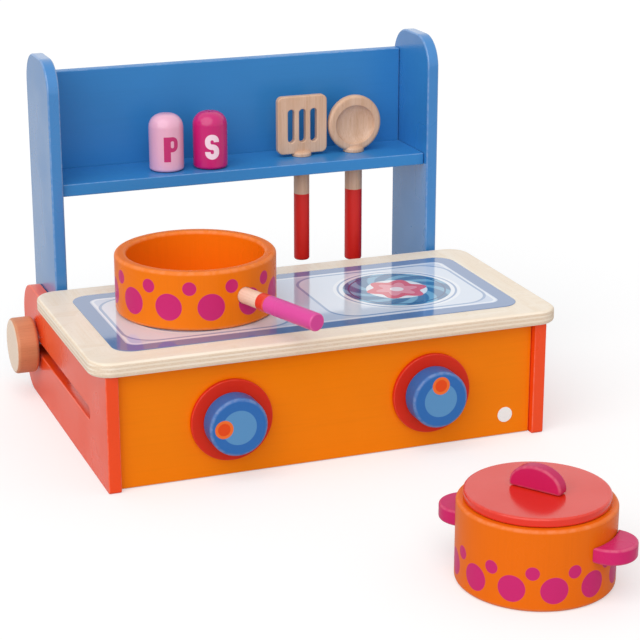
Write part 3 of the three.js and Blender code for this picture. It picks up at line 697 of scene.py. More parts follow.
def lathe_tree():
    graph, (profile, steps, material) = tree_with(
        "Lathe", ("Steps", "Int"), ("Material", "Material"))
    rows = graph.add("GeometryNodeAttributeDomainSize", {"component": "MESH"}, {0: profile})
    grid = graph.add("GeometryNodeMeshGrid", None, {"Vertices X": rows, "Vertices Y": steps + 1})
    index = graph.add("GeometryNodeInputIndex")
    row = graph.math("FLOOR", (index + 0.01) / (steps + 1))
    angle = (index - row * (steps + 1)) / steps * math.tau

    def of_row(kind, value):
        return graph.add("GeometryNodeSampleIndex", {"data_type": kind, "domain": "POINT"},
                         {"Geometry": profile, "Value": value, "Index": row})

    spot = of_row("FLOAT_VECTOR", graph.add("GeometryNodeInputPosition"))
    radius, _, height = graph.split(spot)
    around = graph.combine(radius * graph.math("COSINE", angle),
                           radius * graph.math("SINE", angle), height)
    swept = graph.add("GeometryNodeSetPosition", None, {"Geometry": grid, "Position": around})
    edge = graph.add("GeometryNodeInputNamedAttribute", {"data_type": "FLOAT"}, {"Name": "edge"})
    marked = graph.add("GeometryNodeStoreNamedAttribute", {"data_type": "FLOAT", "domain": "POINT"},
                       {"Geometry": swept, "Name": "edge", "Value": of_row("FLOAT", edge)})
    closed = graph.add("GeometryNodeMergeByDistance", None,
                       {"Geometry": marked, "Distance": WELDED})
    return tree_end(graph, closed, material)


LATHE = lathe_tree()
print("lathe tree:", len(LATHE.nodes), "nodes")

# %% [markdown]
# ## Profiles for the lathe
# A turner works from a drawing of half the piece. Here it is a list of points, each a distance from
# the axis and a height, with quarter circles where the real edge is rounded. A block with rounded
# ends and a ring cover the knobs, discs, washers and shakers, and the rest is drawn point by point.

# %% Profiles
SUPPORT = 1.5


def fillet(x, z, radius, start, end, steps=6):
    """A rounded edge of a profile; the third number says how far round it the point is."""
    points = arc(x, z, radius, start, end, steps)
    return [(*point, math.sin(math.pi * at / steps)) for at, point in enumerate(points)]


def turned(profile, material, steps=72):
    """A closed turned solid from its profile of radius, height and, on rounded edges, edge."""
    points = [(point[0], 0.0, point[1]) for point in profile]
    line = bpy.data.meshes.new("profile")
    line.from_pydata(points, [(at, at + 1) for at in range(len(points) - 1)], [])
    mark = line.attributes.new("edge", "FLOAT", "POINT")
    mark.data.foreach_set("value", [point[2] if len(point) > 2 else 0.0 for point in profile])
    return faced_out(run_tree(line, LATHE, Steps=steps, Material=material))


def block(radius, length, low, high, bore=0.0, bore_depth=0.0):
    """Profile of a turned block with rounded ends and, if asked, a blind bore in its low end."""
    start = [(0, bore_depth), (bore, bore_depth), (bore, 0)] if bore else [(0, 0)]
    return [*start, (radius - low - SUPPORT, 0), *fillet(radius - low, low, low, -90, 0),
            *fillet(radius - high, length - high, high, 0, 90),
            (radius - high - SUPPORT, length), (0, length)]


def annulus(hole, radius, length, edge, steps=6, flat=0.0):
    """Profile of a turned ring; flat adds a point on each face, so far from the outer edge."""
    low, high = ([(radius - flat, 0)], [(radius - flat, length)]) if flat else ([], [])
    return [(hole, 0), *low, *fillet(radius - edge, edge, edge, -90, 0, steps),
            *fillet(radius - edge, length - edge, edge, 0, 90, steps), *high,
            (hole, length), (hole, 0)]


print("points of a block's profile:", len(block(20, 10, 1, 1)))

# %% [markdown]
# ## Dressing the frame
# Every finished piece goes through one function. It puts the mesh in place and shades it smooth,
# except where two faces meet at more than 50 degrees, as on a drilled rim. Weighted normals let
# large faces rule, so that flats stay flat beside their rounded edges. Then it hangs the piece on
# the empty of the body that its first CAD node rides on, and hides the CAD nodes that it stands
# for.

# %% The dress function
CRISP = math.radians(50)


def dress(name, mesh, matrix, finish, *stands_for):
    mesh.transform(matrix)
    mesh.name = name
    if finish:
        mesh.materials.clear()
        mesh.materials.append(finish)
    mesh.shade_smooth()
    mesh.set_sharp_from_angle(angle=CRISP)
    piece = linked(name, mesh)
    even = piece.modifiers.new("Flat faces stay flat", "WEIGHTED_NORMAL")
    even.keep_sharp = True
    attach(piece, body_of[stands_for[0]])
    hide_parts(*stands_for)
    print(name, "faces", len(mesh.polygons), "for", *stands_for)


print("the shelf will ride on", body_of["shelf"])

# %% [markdown]
# ## The camera
# The camera looks from the front left and a little above, as in the photograph. It is placed at
# once, because every check of a piece is made through it. Its place, its two angles and its lens
# were fitted to the corners of the box, the hob and the rack.

# %% Camera
CAMERA_PLACE = Vector((-0.5141, -1.3030, 0.5792))
CAMERA_TURN = math.radians(20.847)
CAMERA_DROP = math.radians(18.124)
CAMERA_LENS = 110.62
CAMERA_REACH = 50.0
camera = linked("camera", bpy.data.cameras.new("camera"))
camera.data.lens = CAMERA_LENS
camera.data.clip_end = CAMERA_REACH
camera.location = CAMERA_PLACE
forward = Vector((math.sin(CAMERA_TURN) * math.cos(CAMERA_DROP),
                  math.cos(CAMERA_TURN) * math.cos(CAMERA_DROP), -math.sin(CAMERA_DROP)))
camera.rotation_euler = forward.to_track_quat("-Z", "Y").to_euler()
bpy.context.scene.camera = camera
print("camera lens", CAMERA_LENS, "mm")

# %% [markdown]
# ## The box: side panels
# The box is glued from painted boards 10 mm thick. Each side panel has round rear corners and a
# long slot, in which the clamp bolts slide when the rack is put away. It could be a plain block
# with a cut, but a board drawn as an outline with a hole has the sanded edges round both.

# %% Side panels
SIDES = (("left", -1), ("right", 1))
side_low, side_high = span("side_panel_left")
BOARD = 10.0
FRONT_Y = side_low.y
PIVOT_Y, PIVOT_Z = FRONT_Y + 231.0, 46.0
SLOT_FRONT_Y, SLOT_RADIUS = FRONT_Y + 56.0, 5.25
REAR_CORNER, FRONT_CORNER = 28.0, 2.0
side_outline = rounded(side_low.y, 0.0, side_high.y, side_high.z,
                       (FRONT_CORNER, REAR_CORNER, REAR_CORNER, FRONT_CORNER), 16)
bolt_slot = [*arc(SLOT_FRONT_Y, PIVOT_Z, SLOT_RADIUS, 90, 270),
             *arc(PIVOT_Y, PIVOT_Z, SLOT_RADIUS, -90, 90)]
for side, _ in SIDES:
    node = f"side_panel_{side}"
    dress(f"side_board_{side}", board(side_outline, [bolt_slot], BOARD),
          placed(Y, Z, X, (span(node)[0].x, 0, 0)), side_paint, node)

# %% [markdown]
# ## The box: front panel
# The orange panel is set back between the side panels. Two small holes let the shafts of the knobs
# through. Its corners are nearly square, as a saw leaves them.

# %% Front panel
KNOB_X, KNOB_Z = 82.3, 45.6
SHAFT_HOLE = 2.9
NEAR_SQUARE = (1.0,) * 4
front_low, front_high = span("front_panel")
shaft_holes = [circle(sign * KNOB_X, KNOB_Z, SHAFT_HOLE, 24) for _, sign in SIDES]
front_outline = rounded(front_low.x, front_low.z, front_high.x, front_high.z, NEAR_SQUARE, 3)
dress("front_board", board(front_outline, shaft_holes, BOARD),
      placed(X, Z, -Y, (0, front_high.y, 0)), front_paint, "front_panel")

# %% [markdown]
# ## The hob's plywood
# Birch plywood has seven plies whose fibres run left to right and front to back in turn. Where a
# ply is cut across its fibres the edge looks darker and shows fine pores. The material is a solid
# one: it works out the ply from the height, swaps the two directions for every second ply, and
# darkens a face that looks along the fibres, so the layers run right round the rounded edge.

# %% Plywood
PLIES = 7
WANDER = 0.16
PLY_SHIFT = 37.0
PORES = 1.6


def plywood(name, underside, thickness):
    f = Finish(name)
    x, y, z = f.xyz()
    level = (z - underside) / (thickness / PLIES) + f.noise(0.02) * WANDER - WANDER / 2
    ply = f.math("FLOOR", level)
    odd = f.math("MODULO", ply, 2.0)
    own_place = f.combine((x + (y - x) * odd) * MM, (y + (x - y) * odd) * MM,
                          (z + ply * PLY_SHIFT) * MM)
    colour, relief = wood_grain(f, paint("faeedd"), paint("efdcc2"), 0, own_place, 30.0)
    normal_x, normal_y, _ = f.facing()
    end = f.step(abs(normal_x + (normal_y - normal_x) * odd), 0.35, 0.8)
    pores = f.noise(PORES)
    colour = f.mix(end * (f.step(pores, 0.35, 0.7) * 0.3 + 0.25), colour, paint("c8a47c"))
    upright = f.step(abs(normal_x) + abs(normal_y), 0.2, 0.6)
    seam = f.step(abs(level - ply - 0.5), 0.44, 0.5) * upright
    colour = f.mix(seam * 0.4, colour, paint("9c7448"))
    f.bump(relief * 0.6 - seam * 0.5 - end * pores * 0.4, 0.06)
    return f.finish(Base_Color=colour, Roughness=relief * 0.1 + end * 0.15 + 0.4, Coat_Weight=0.05)


hob_low, hob_high = span("hob_top")
hob_thickness = hob_high.z - hob_low.z
birch = plywood("birch plywood", hob_low.z, hob_thickness)
print("each ply is", round(hob_thickness / PLIES, 2), "mm thick")

# %% [markdown]
# ## The hob's board
# The hob top is one board with wide round corners, and its edges are sanded rounder than those of
# the painted boards. The plies show as fine lines on this rounding, because the material is solid.

# %% Hob board
HOB_CORNER = 18.0
HOB_EDGE = 2.6
hob_outline = rounded(hob_low.x, hob_low.y, hob_high.x, hob_high.y, (HOB_CORNER,) * 4, 16)
dress("hob_board", board(hob_outline, [], hob_thickness, HOB_EDGE, 5),
      placed(X, Y, Z, (0, 0, hob_low.z)), birch, "hob_top")

# %% [markdown]
# ## The printed hob
# A glossy printed film lies on the plywood. Its band, its fields and its two burners are worked out
# from distances, as a signed distance to a rounded rectangle and to circles, so every line keeps
# its width in millimetres. The motif is a plain one of rings and a flower.


# %% Distances for the print
def box_distance(f, dx, dy, half_x, half_y, corner):
    """Signed distance to a rounded rectangle, below zero inside."""
    qx = abs(dx) - (half_x - corner)
    qy = abs(dy) - (half_y - corner)
    outside = f.length(f.math("MAXIMUM", qx, 0.0), f.math("MAXIMUM", qy, 0.0))
    return outside + f.math("MINIMUM", f.math("MAXIMUM", qx, qy), 0.0) - corner


def line_at(f, distance, middle, half_width, blur=0.3):
    """1 on a line at this distance, 0 away from it."""
    return f.step(abs(distance - middle), half_width + blur, half_width - blur)


def within(f, distance, limit, blur=0.3):
    """1 where the distance is below the limit, 0 past it."""
    return f.step(distance, limit + blur, limit - blur)


print("distance helpers ready")

# %% [markdown]
# ## A burner's motif
# Each burner is a pale disc with a ring of slanting waves and a flower. The angle round its middle,
# run through a sine, makes the waves, and a cosine of six turns added to the distance makes petals.

# %% Burners
PALE_DISC, OUTER_LINE, INNER_LINE = 52.0, 48.2, 39.4
WAVE_RING, WAVE_RING_HALF, WAVES, WAVE_SLANT = 34.5, 9.5, 9.0, 0.3
PETALS, PETAL_DEPTH = 6.0, 3.4
FLOWER, FLOWER_MIDDLE, FLOWER_EYE = 22.5, 14.5, 5.6


def burner(f, colour, dx, dy):
    """Rings and a flower, from the distances to the burner's middle."""
    reach = f.length(dx, dy)
    angle = f.math("ARCTAN2", dy, dx)
    colour = f.mix(within(f, reach, PALE_DISC), colour, paint("eef3fa"))
    colour = f.mix(line_at(f, reach, OUTER_LINE, 0.9), colour, paint("8fa8cc"))
    waves = f.step(f.wave("SINE", angle * WAVES + reach * WAVE_SLANT), 0.5, 0.8)
    colour = f.mix(line_at(f, reach, WAVE_RING, WAVE_RING_HALF), colour,
                   f.mix(waves, paint("2f6f9f"), paint("74afd0")))
    colour = f.mix(line_at(f, reach, INNER_LINE, 0.7), colour, paint("1f4f86"))
    petals = f.math("COSINE", angle * PETALS) * PETAL_DEPTH
    colour = f.mix(within(f, reach - petals, FLOWER), colour, paint("df4a62"))
    colour = f.mix(within(f, reach - petals, FLOWER_MIDDLE), colour, paint("ee8f9f"))
    return f.mix(within(f, reach, FLOWER_EYE), colour, paint("f6e9ee"))


print("a flower has", int(PETALS), "petals and its ring", int(WAVES), "waves")

# %% [markdown]
# ## The film
# The print is a thin glossy sheet, so it mirrors the rack behind it. That comes from a low
# roughness and a coat, not from painted reflections, and works from every side.

# %% Printed film
FILM_CORNER, FILM_EDGE = 16.0, 0.12
BAND, BAND_CORNER = 12.5, 9.0
FIELD_SIDE, FIELD_END, FIELD_CORNER = 16.0, 18.0, 24.0
BURNERS_X = (-85.0, 89.0)


def printed_film(name, low, high):
    f = Finish(name)
    x, y, _ = f.xyz()
    half_x, half_y = (high.x - low.x) / 2, (high.y - low.y) / 2
    dy = y - (low.y + high.y) / 2
    inner = box_distance(f, x, dy, half_x - BAND, half_y - BAND, BAND_CORNER)
    colour = f.mix(within(f, inner, 0.0), paint("6484b4"), paint("c6d4ea"))
    colour = f.mix(line_at(f, inner, -2.2, 1.1), colour, paint("e8eff8"))
    field = box_distance(f, abs(x) - half_x / 2, dy, half_x / 2 - FIELD_SIDE, half_y - FIELD_END,
                         FIELD_CORNER)
    colour = f.mix(within(f, field, 0.0), colour, paint("dbe5f3"))
    colour = f.mix(line_at(f, field, 0.0, 1.2), colour, paint("8ba6cc"))
    for burner_x in BURNERS_X:
        colour = burner(f, colour, x - burner_x, dy)
    f.bump(f.noise(0.03, 1.0), 0.02)
    return f.finish(Base_Color=colour, Roughness=f.noise(0.05) * 0.06 + 0.05, Coat_Weight=0.6,
                    Coat_Roughness=0.04)


film_low, film_high = span("hob_print")
film_outline = rounded(film_low.x, film_low.y, film_high.x, film_high.y, (FILM_CORNER,) * 4, 16)
dress("hob_film", board(film_outline, [], film_high.z - film_low.z, FILM_EDGE, 2),
      placed(X, Y, Z, (0, 0, film_low.z)), printed_film("printed hob film", film_low, film_high),
      "hob_print")

# %% [markdown]
# ## The badge
# A small plain disc of white plastic sits on the front. It is thin, so only its rim tells it from
# paint: a turned disc with a fine rounding, in a plastic that is a little mottled.

# %% White badge
BADGE_BACK_EDGE, BADGE_FACE_EDGE = 0.05, 0.15
badge_low, badge_high = span("front_badge")
badge = Finish("white badge plastic")
speckle = badge.noise(0.8)
badge.bump(speckle, 0.01)
white = badge.finish(Base_Color=badge.mix(speckle * 0.3, paint("f8f8f6"), paint("e4e2de")),
                     Roughness=speckle * 0.2 + 0.25)
badge_profile = block((badge_high.x - badge_low.x) / 2, badge_high.y - badge_low.y,
                      BADGE_BACK_EDGE, BADGE_FACE_EDGE)
badge_middle = (badge_low + badge_high) / 2
dress("badge_disc", turned(badge_profile, white),
      placed(X, Z, -Y, (badge_middle.x, badge_high.y, badge_middle.z)), None, "front_badge")

# %% [markdown]
# ## The face of a knob
# Each knob's face carries a pale blue disc and an orange pointer dot with a darker middle. They are
# drawn from distances to the knob's own axis, so the print turns with the knob.

# %% Print on the knobs
FACE_DISC, POINTER_REACH, POINTER, POINTER_MIDDLE = 13.6, 12.0, 7.2, 4.9
PRINT_ENDS, PRINT_FULL = 1.2, 0.6


def knob_print(centre_x, pointer_degrees, face_y):
    """Adds the face's pale disc and its pointer dot to a blue paint."""
    angle = math.radians(pointer_degrees)

    def add(f, colour):
        x, y, z = f.xyz()
        dx, dz = x - centre_x, z - KNOB_Z
        face = f.step(y, face_y + PRINT_ENDS, face_y + PRINT_FULL)
        dot = f.length(dx - POINTER_REACH * math.cos(angle), dz - POINTER_REACH * math.sin(angle))
        colour = f.mix(within(f, f.length(dx, dz), FACE_DISC) * face, colour, paint("5a92c4"))
        colour = f.mix(within(f, dot, POINTER) * face, colour, paint("f0702c"))
        return f.mix(within(f, dot, POINTER_MIDDLE) * face, colour, paint("e64a14"))

    return add


print("the pointer dot is", POINTER_REACH, "mm from the knob's axis")

# %% [markdown]
# ## The two front knobs
# Each knob is a turned wooden block on a steel screw, in front of a red disc that is fixed to the
# panel. The lathe makes both: a ring for the disc, and a block with a blind bore for the knob.

# %% Knobs
DISC_EDGE, DISC_FLAT = 0.9, 3.0
KNOB_BACK_EDGE, KNOB_FACE_EDGE = 1.0, 2.6
KNOB_BORE, KNOB_BORE_DEPTH = 2.8, 11.3
for (side, sign), pointer in zip(SIDES, (180, 90)):
    centre_x = sign * KNOB_X
    low, high = span(f"knob_plate_{side}")
    disc = annulus(SHAFT_HOLE, (high.x - low.x) / 2, high.y - low.y, DISC_EDGE, flat=DISC_FLAT)
    dress(f"knob_disc_{side}", turned(disc, disc_paint, 96),
          placed(X, Z, -Y, (centre_x, high.y, KNOB_Z)), None, f"knob_plate_{side}")
    low, high = span(f"knob_{side}")
    blue = painted(f"blue knob paint {side}", "2f6cb4", grain=1,
                   printed=knob_print(centre_x, pointer, low.y))
    knob = block((high.x - low.x) / 2, high.y - low.y, KNOB_BACK_EDGE, KNOB_FACE_EDGE,
                 KNOB_BORE, KNOB_BORE_DEPTH)
    dress(f"turned_knob_{side}", turned(knob, blue, 96),
          placed(X, Z, -Y, (centre_x, high.y, KNOB_Z)), None, f"knob_{side}")

# %% [markdown]
# ## The rack's posts
# The rack stands on two posts with round ends. A brass insert sits flush in each, to take the clamp
# bolt, so the post is drilled from one face only. An outline's hole would go right through, so the
# hole is cut with a drill that stops inside the board.

# %% Posts
POST_CORNER = 26.0
POST_EDGE = 1.5
INSERT_HOLE, INSERT_DEPTH = 5.3, 9.0
DRILL_PAST = 2.0
post_low, post_high = span("post_left")
half_depth, post_top = (post_high.y - post_low.y) / 2, post_high.z - PIVOT_Z
post_outline = [*arc(half_depth - POST_CORNER, post_top - POST_CORNER, POST_CORNER, 0, 90, 16),
                *arc(POST_CORNER - half_depth, post_top - POST_CORNER, POST_CORNER, 90, 180, 16),
                *arc(0, 0, half_depth, 180, 360, 40)]
for side, sign in SIDES:
    drill = rod(INSERT_HOLE, INSERT_DEPTH + DRILL_PAST)
    drill.transform(Matrix.Translation((0, 0, -DRILL_PAST if sign < 0 else BOARD - INSERT_DEPTH)))
    node = f"post_{side}"
    dress(f"rack_{node}", with_tool(board(post_outline, [], BOARD, POST_EDGE, 4), drill),
          placed(Y, Z, X, (span(node)[0].x, PIVOT_Y, PIVOT_Z)), post_paint, node)

# %% [markdown]
# ## The shelf and the back panel
# The shelf carries the shakers, and the utensils hang through two holes in it. The holes are a
# little wider than the utensils' shafts, so both can be lifted out. The back panel is a plain
# board.

# %% Shelf and back panel
UTENSIL_Y = FRONT_Y + 229.0
SPATULA_X, SPOON_X = 57.9, 106.0
SPATULA_SHAFT, SPOON_SHAFT = 6.75, 7.5
HOLE_PLAY = 0.6
low, high = span("shelf")
SHELF_TOP = high.z
hangers = [circle(SPATULA_X, UTENSIL_Y, SPATULA_SHAFT + HOLE_PLAY),
           circle(SPOON_X, UTENSIL_Y, SPOON_SHAFT + HOLE_PLAY)]
dress("rack_shelf", board(rounded(low.x, low.y, high.x, high.y, NEAR_SQUARE, 3), hangers, BOARD),
      placed(X, Y, Z, (0, 0, low.z)), shelf_paint, "shelf")
low, high = span("back_panel")
dress("rack_back", board(rounded(low.x, low.z, high.x, high.z, NEAR_SQUARE, 3), [], BOARD),
      placed(X, Z, -Y, (0, high.y, 0)), shelf_paint, "back_panel")

# %% [markdown]
# ## Beech for the clamping knobs
# The clamping knobs are cut from a beech rod, whose fibres run along it. So the flat outer face is
# end grain, paler and with growth rings round a pith that lies off the knob, while the round side
# shows long fibres. One solid material does both, told apart by the way the surface faces.

# %% Thumb knob wood
PITH_Y, PITH_Z = PIVOT_Y + 30.0, PIVOT_Z - 42.0
RING_TURNS = 1.7


def thumb_wood(name):
    f = Finish(name)
    colour, relief = wood_grain(f, paint("d48e64"), paint("b66e46"), 0, None, 26.0, 0.6)
    end = f.step(abs(f.facing()[0]), 0.75, 0.97)
    _, y, z = f.xyz()
    reach = f.length(y - PITH_Y, z - PITH_Z) + f.noise(0.05) * 5.0
    rings = f.wave("SINE", reach * RING_TURNS)
    pale = f.mix(f.step(rings, 0.3, 1.0) * 0.5, paint("f0dcc8"), paint("dfc2a4"))
    f.bump(relief * 0.7 + end * rings * 0.3, WOOD_RELIEF)
    return f.finish(Base_Color=f.mix(end, colour, pale), Roughness=relief * 0.12 + WOOD_ROUGHNESS)


beech = thumb_wood("beech thumb knob")
print("thumb knob material:", beech.name)

# %% [markdown]
# ## The clamps
# On each side a beech knob on a bolt presses a steel washer and the post against the side panel.
# The washers slide in front of the slot when the rack is put away. All are turned round one axis.

# %% Washers and thumb knobs
THUMB_EDGE, THUMB_BORE, THUMB_BORE_DEPTH = 3.0, 3.3, 13.3
WASHER_HOLE, WASHER_EDGE, WASHER_FLAT = 3.4, 0.3, 1.2


def clamped(node, sign):
    """The place, radius and length of a turned piece on the rack's pivot."""
    low, high = span(node)
    place = placed(Y * sign, Z, X * sign, (low.x if sign > 0 else high.x, PIVOT_Y, PIVOT_Z))
    return place, (high.z - low.z) / 2, high.x - low.x


for side, sign in SIDES:
    place, radius, length = clamped(f"thumb_knob_{side}", sign)
    knob = block(radius, length, THUMB_EDGE, THUMB_EDGE, THUMB_BORE, THUMB_BORE_DEPTH)
    dress(f"thumb_turned_{side}", turned(knob, beech, 96), place, None, f"thumb_knob_{side}")
    place, radius, length = clamped(f"clamp_washer_{side}", sign)
    washer = annulus(WASHER_HOLE, radius, length, WASHER_EDGE, 3, WASHER_FLAT)
    dress(f"washer_ring_{side}", turned(washer, steel), place, None, f"clamp_washer_{side}")

# %% [markdown]
# ## Printed dots
# Two rows of dots run round each pan: twelve small ones above twelve large ones, set half a step
# apart. One piece of maths draws a whole row. It turns the angle round the axis into steps, keeps
# what is left of the nearest step, and measures the distance to that dot's centre along the wall.

# %% Dots
DOTS = 12
DOT_TONE = "ca2a6e"


def row_of_dots(f, centre, radius, height, first_degrees, dot_radius):
    """1 on the dots of one row round a turned wall."""
    x, y, z = f.xyz()
    dx, dy = x - centre.x, y - centre.y
    turns = f.math("ARCTAN2", dy, dx) * (DOTS / math.tau) - first_degrees * DOTS / 360
    along = (turns - f.math("ROUND", turns)) * (math.tau / DOTS * radius)
    wall = f.step(f.length(dx, dy), radius - 2.0, radius - 1.0)
    return within(f, f.length(along, z - height), dot_radius, 0.25) * wall


def dotted(centre, radius, rows):
    """Adds rows of dots, each a height, the angle of its first dot and the dots' radius."""

    def add(f, colour):
        for row in rows:
            colour = f.mix(row_of_dots(f, centre, radius, *row), colour, paint(DOT_TONE))
        return colour

    return add


print("dots in a row:", DOTS)

# %% [markdown]
# ## The saucepan
# The saucepan is a turned wooden cup with a thick wall. A profile that goes up the outside, over
# the rim and down the inside makes it in one go. The peg of its handle stands in a hole in the
# wall, which is drilled into the turned cup, as a turner would do it.


# %% Saucepan
def cup(radius, height, wall, floor, rim, base, inner):
    """Profile of a turned cup with a rounded rim and a rounded floor edge inside."""
    hollow = radius - wall
    floor_edge = arc(hollow - inner, floor + inner, inner, 0, -90, 8)
    return [(0, 0), (radius - base - 2, 0), *fillet(radius - base, base, base, -90, 0),
            *fillet(radius - rim, height - rim, rim, 0, 90, 8),
            *fillet(hollow + rim, height - rim, rim, 90, 180, 8),
            *[(x, z, 0.0) for x, z in floor_edge], (hollow - inner - 3, floor), (0, floor)]


PAN_RADIUS = 63.6
HANDLE_TURN = math.radians(-71.2)
PEG_START = 58.9
SOCKET, SOCKET_START, SOCKET_PAST = 6.7, PEG_START - 0.3, 30.0
low, high = span("saucepan")
pan_middle = (low + high) / 2
handle_z = sum(corner.z for corner in span("saucepan_peg")) / 2
pan_rows = ((low.z + 33.9, -111.65, 5.4), (low.z + 18.8, -96.65, 10.7))
pan_paint = painted("orange pan paint", "f0780e", grain=2, roughness=0.28, wear_and_highlight=0.3, gloss=0.1,
                    printed=dotted(pan_middle, PAN_RADIUS, pan_rows))
pan = turned(cup(PAN_RADIUS, high.z - low.z, wall=9.4, floor=9.0, rim=3.0, base=3.0, inner=6.0),
             pan_paint, 128)
handle_way = Vector((math.cos(HANDLE_TURN), math.sin(HANDLE_TURN), 0))
handle_side = Z.cross(handle_way)
socket = rod(SOCKET, SOCKET_PAST)
socket.transform(Matrix.Translation(handle_way * SOCKET_START + Z * (handle_z - low.z))
                 @ Matrix((handle_side, Z, handle_way)).transposed().to_4x4())
dress("pan_bowl", with_tool(pan, socket), standing(pan_middle, low.z), None, "saucepan")

# %% [markdown]
# ## Birch for the peg
# The peg is a birch dowel, and its fibres run along the handle, which points neither along X nor
# along Y. The grain above only knows the three axes. So this material turns its coordinates first.


# %% Turned coordinates
def turned_wood(name, light, dark, axis):
    """Wood whose fibres run along any level direction."""
    f = Finish(name)
    x, y, z = f.xyz()
    along = x * axis.x + y * axis.y
    across = y * axis.x - x * axis.y
    place = f.combine(along * MM, across * MM, z * MM)
    colour, relief = wood_grain(f, paint(light), paint(dark), 0, place)
    f.bump(relief, WOOD_RELIEF)
    return f.finish(Base_Color=colour, Roughness=relief * 0.12 + WOOD_ROUGHNESS)


peg_birch = turned_wood("birch peg along the handle", "f2d0bc", "deb096", handle_way)
print("peg material:", peg_birch.name)

# %% [markdown]
# ## The saucepan's handle
# The handle is put together like the real one: a birch peg in the pan's wall, a red collar on the
# peg's thinner end, and a pink grip bored to go over that end. All three are turned and lie on one
# line, so each is drawn from its own start and placed by its distance from the pan's axis.

# %% Peg, collar and grip
PEG_RADIUS, PEG_SHOULDER, PEG_EDGE, PEG_END = 6.4, 25.4, 0.5, 56.9
TENON, BORE, BORE_DEPTH = 4.0, 4.3, 22.3
COLLAR_START, COLLAR_RADIUS, COLLAR_LENGTH, COLLAR_EDGE = 84.3, 7.0, 9.4, 1.0
GRIP_START, GRIP_RADIUS, GRIP_LENGTH = 94.0, 7.0, 56.5
GRIP_FOOT_EDGE, GRIP_END_EDGE = 0.4, 1.4
collar_paint = painted("red collar paint", "e03a22", grain=1, roughness=0.28)
grip_paint = painted("pink grip paint", "dd4a9c", grain=1, roughness=0.26, wear_and_highlight=0.3)
peg = [(0, 0), (PEG_RADIUS, 0),
       *fillet(PEG_RADIUS - PEG_EDGE, PEG_SHOULDER - PEG_EDGE, PEG_EDGE, 0, 90, 3),
       (TENON, PEG_SHOULDER), (TENON, PEG_END), (0, PEG_END)]
collar = annulus(BORE, COLLAR_RADIUS, COLLAR_LENGTH, COLLAR_EDGE, 5)
grip = [(0, BORE_DEPTH), (BORE, BORE_DEPTH), (BORE, 0),
        *fillet(GRIP_RADIUS - GRIP_FOOT_EDGE, GRIP_FOOT_EDGE, GRIP_FOOT_EDGE, -90, 0, 4),
        *fillet(GRIP_RADIUS - GRIP_END_EDGE, GRIP_LENGTH - GRIP_END_EDGE, GRIP_END_EDGE, 0, 90),
        (0, GRIP_LENGTH)]
for name, profile, finish, start, node in (
        ("pan_peg", peg, peg_birch, PEG_START, "saucepan_peg"),
        ("pan_collar", collar, collar_paint, COLLAR_START, "saucepan_collar"),
        ("pan_grip", grip, grip_paint, GRIP_START, "saucepan_handle")):
    foot = Vector((pan_middle.x, pan_middle.y, handle_z)) + handle_way * start
    dress(name, turned(profile, finish), placed(handle_side, Z, handle_way, foot), None, node)

# %% [markdown]
# ## The pot
# The pot is turned like the pan, and its ears are short boards glued to the wall. An ear's outline
# has a round outer end, and its inner side is an arc of the pot's own radius, so it fits the wall.

# %% Pot and ears
POT_RADIUS, POT_WALL = 54.4, 8.0
POT_TURN = math.radians(-55)
EAR_GAP, EAR_REACH, EAR_HALF, EAR_END, EAR_EDGE = 0.3, POT_RADIUS + 18.7, 18.4, 17.5, 1.8
low, high = span("pot")
pot_middle = (low + high) / 2
pot_rows = ((27.8, -118.85, 4.7), (15.8, -103.4, 9.4))
pot_paint = painted("orange pot paint", "ec6e0c", grain=2, roughness=0.28, wear_and_highlight=0.3, gloss=0.1,
                    printed=dotted(pot_middle, POT_RADIUS, pot_rows))
pot = cup(POT_RADIUS, high.z - low.z, wall=POT_WALL, floor=8.0, rim=2.5, base=3.0, inner=5.0)
dress("pot_bowl", turned(pot, pot_paint, 128), standing(pot_middle, low.z), None, "pot")

ear_paint = painted("magenta ear paint", "cf2168", grain=0, roughness=0.3, wear_and_highlight=0.3)
low, high = span("pot_handle_left")
fit_angle = math.degrees(math.asin(EAR_HALF / (POT_RADIUS + EAR_GAP)))
ear_outline = [*arc(0, 0, POT_RADIUS + EAR_GAP, fit_angle, -fit_angle, 16),
               *arc(EAR_REACH - EAR_END, 0, EAR_END, -90, 90, 24, EAR_HALF / EAR_END)]
pot_way = Vector((math.cos(POT_TURN), math.sin(POT_TURN), 0))
for side, sign in SIDES:
    way = pot_way * sign
    dress(f"pot_ear_{side}", board(ear_outline, [], high.z - low.z, EAR_EDGE, 4),
          placed(way, Z.cross(way), Z, (pot_middle.x, pot_middle.y, low.z)), ear_paint,
          f"pot_handle_{side}")

# %% [markdown]
# ## The lid
# The lid is a glossy red disc with a thinner part below, which sits inside the pot's rim. Below it
# has a bore for the screw of its handle. Its gloss is a coat over the paint.

# %% Lid
LID_RADIUS, LID_FOOT, LID_TOP = 49.7, 4.0, 10.2
LID_LOW_EDGE, LID_TOP_EDGE, LID_FLAT = 1.2, 1.6, 45.0
SPIGOT = POT_RADIUS - POT_WALL - 1.2
SCREW_BORE, SCREW_BORE_DEPTH = 4.3, 2.5
lid_paint = painted("glossy red lid paint", "e4301c", grain=0, roughness=0.16, wear_and_highlight=0.08, coat=0.6)
lid = [(0, SCREW_BORE_DEPTH), (SCREW_BORE, SCREW_BORE_DEPTH), (SCREW_BORE, 0), (SPIGOT - 3, 0),
       *fillet(SPIGOT - LID_LOW_EDGE, LID_LOW_EDGE, LID_LOW_EDGE, -90, 0), (SPIGOT, LID_FOOT),
       *fillet(LID_RADIUS - LID_LOW_EDGE, LID_FOOT + LID_LOW_EDGE, LID_LOW_EDGE, -90, 0),
       *fillet(LID_RADIUS - LID_TOP_EDGE, LID_TOP - LID_TOP_EDGE, LID_TOP_EDGE, 0, 90),
       (LID_FLAT, LID_TOP), (0, LID_TOP)]
dress("lid_disc", turned(lid, lid_paint, 128), standing(pot_middle, span("pot_lid")[0].z), None,
      "pot_lid")

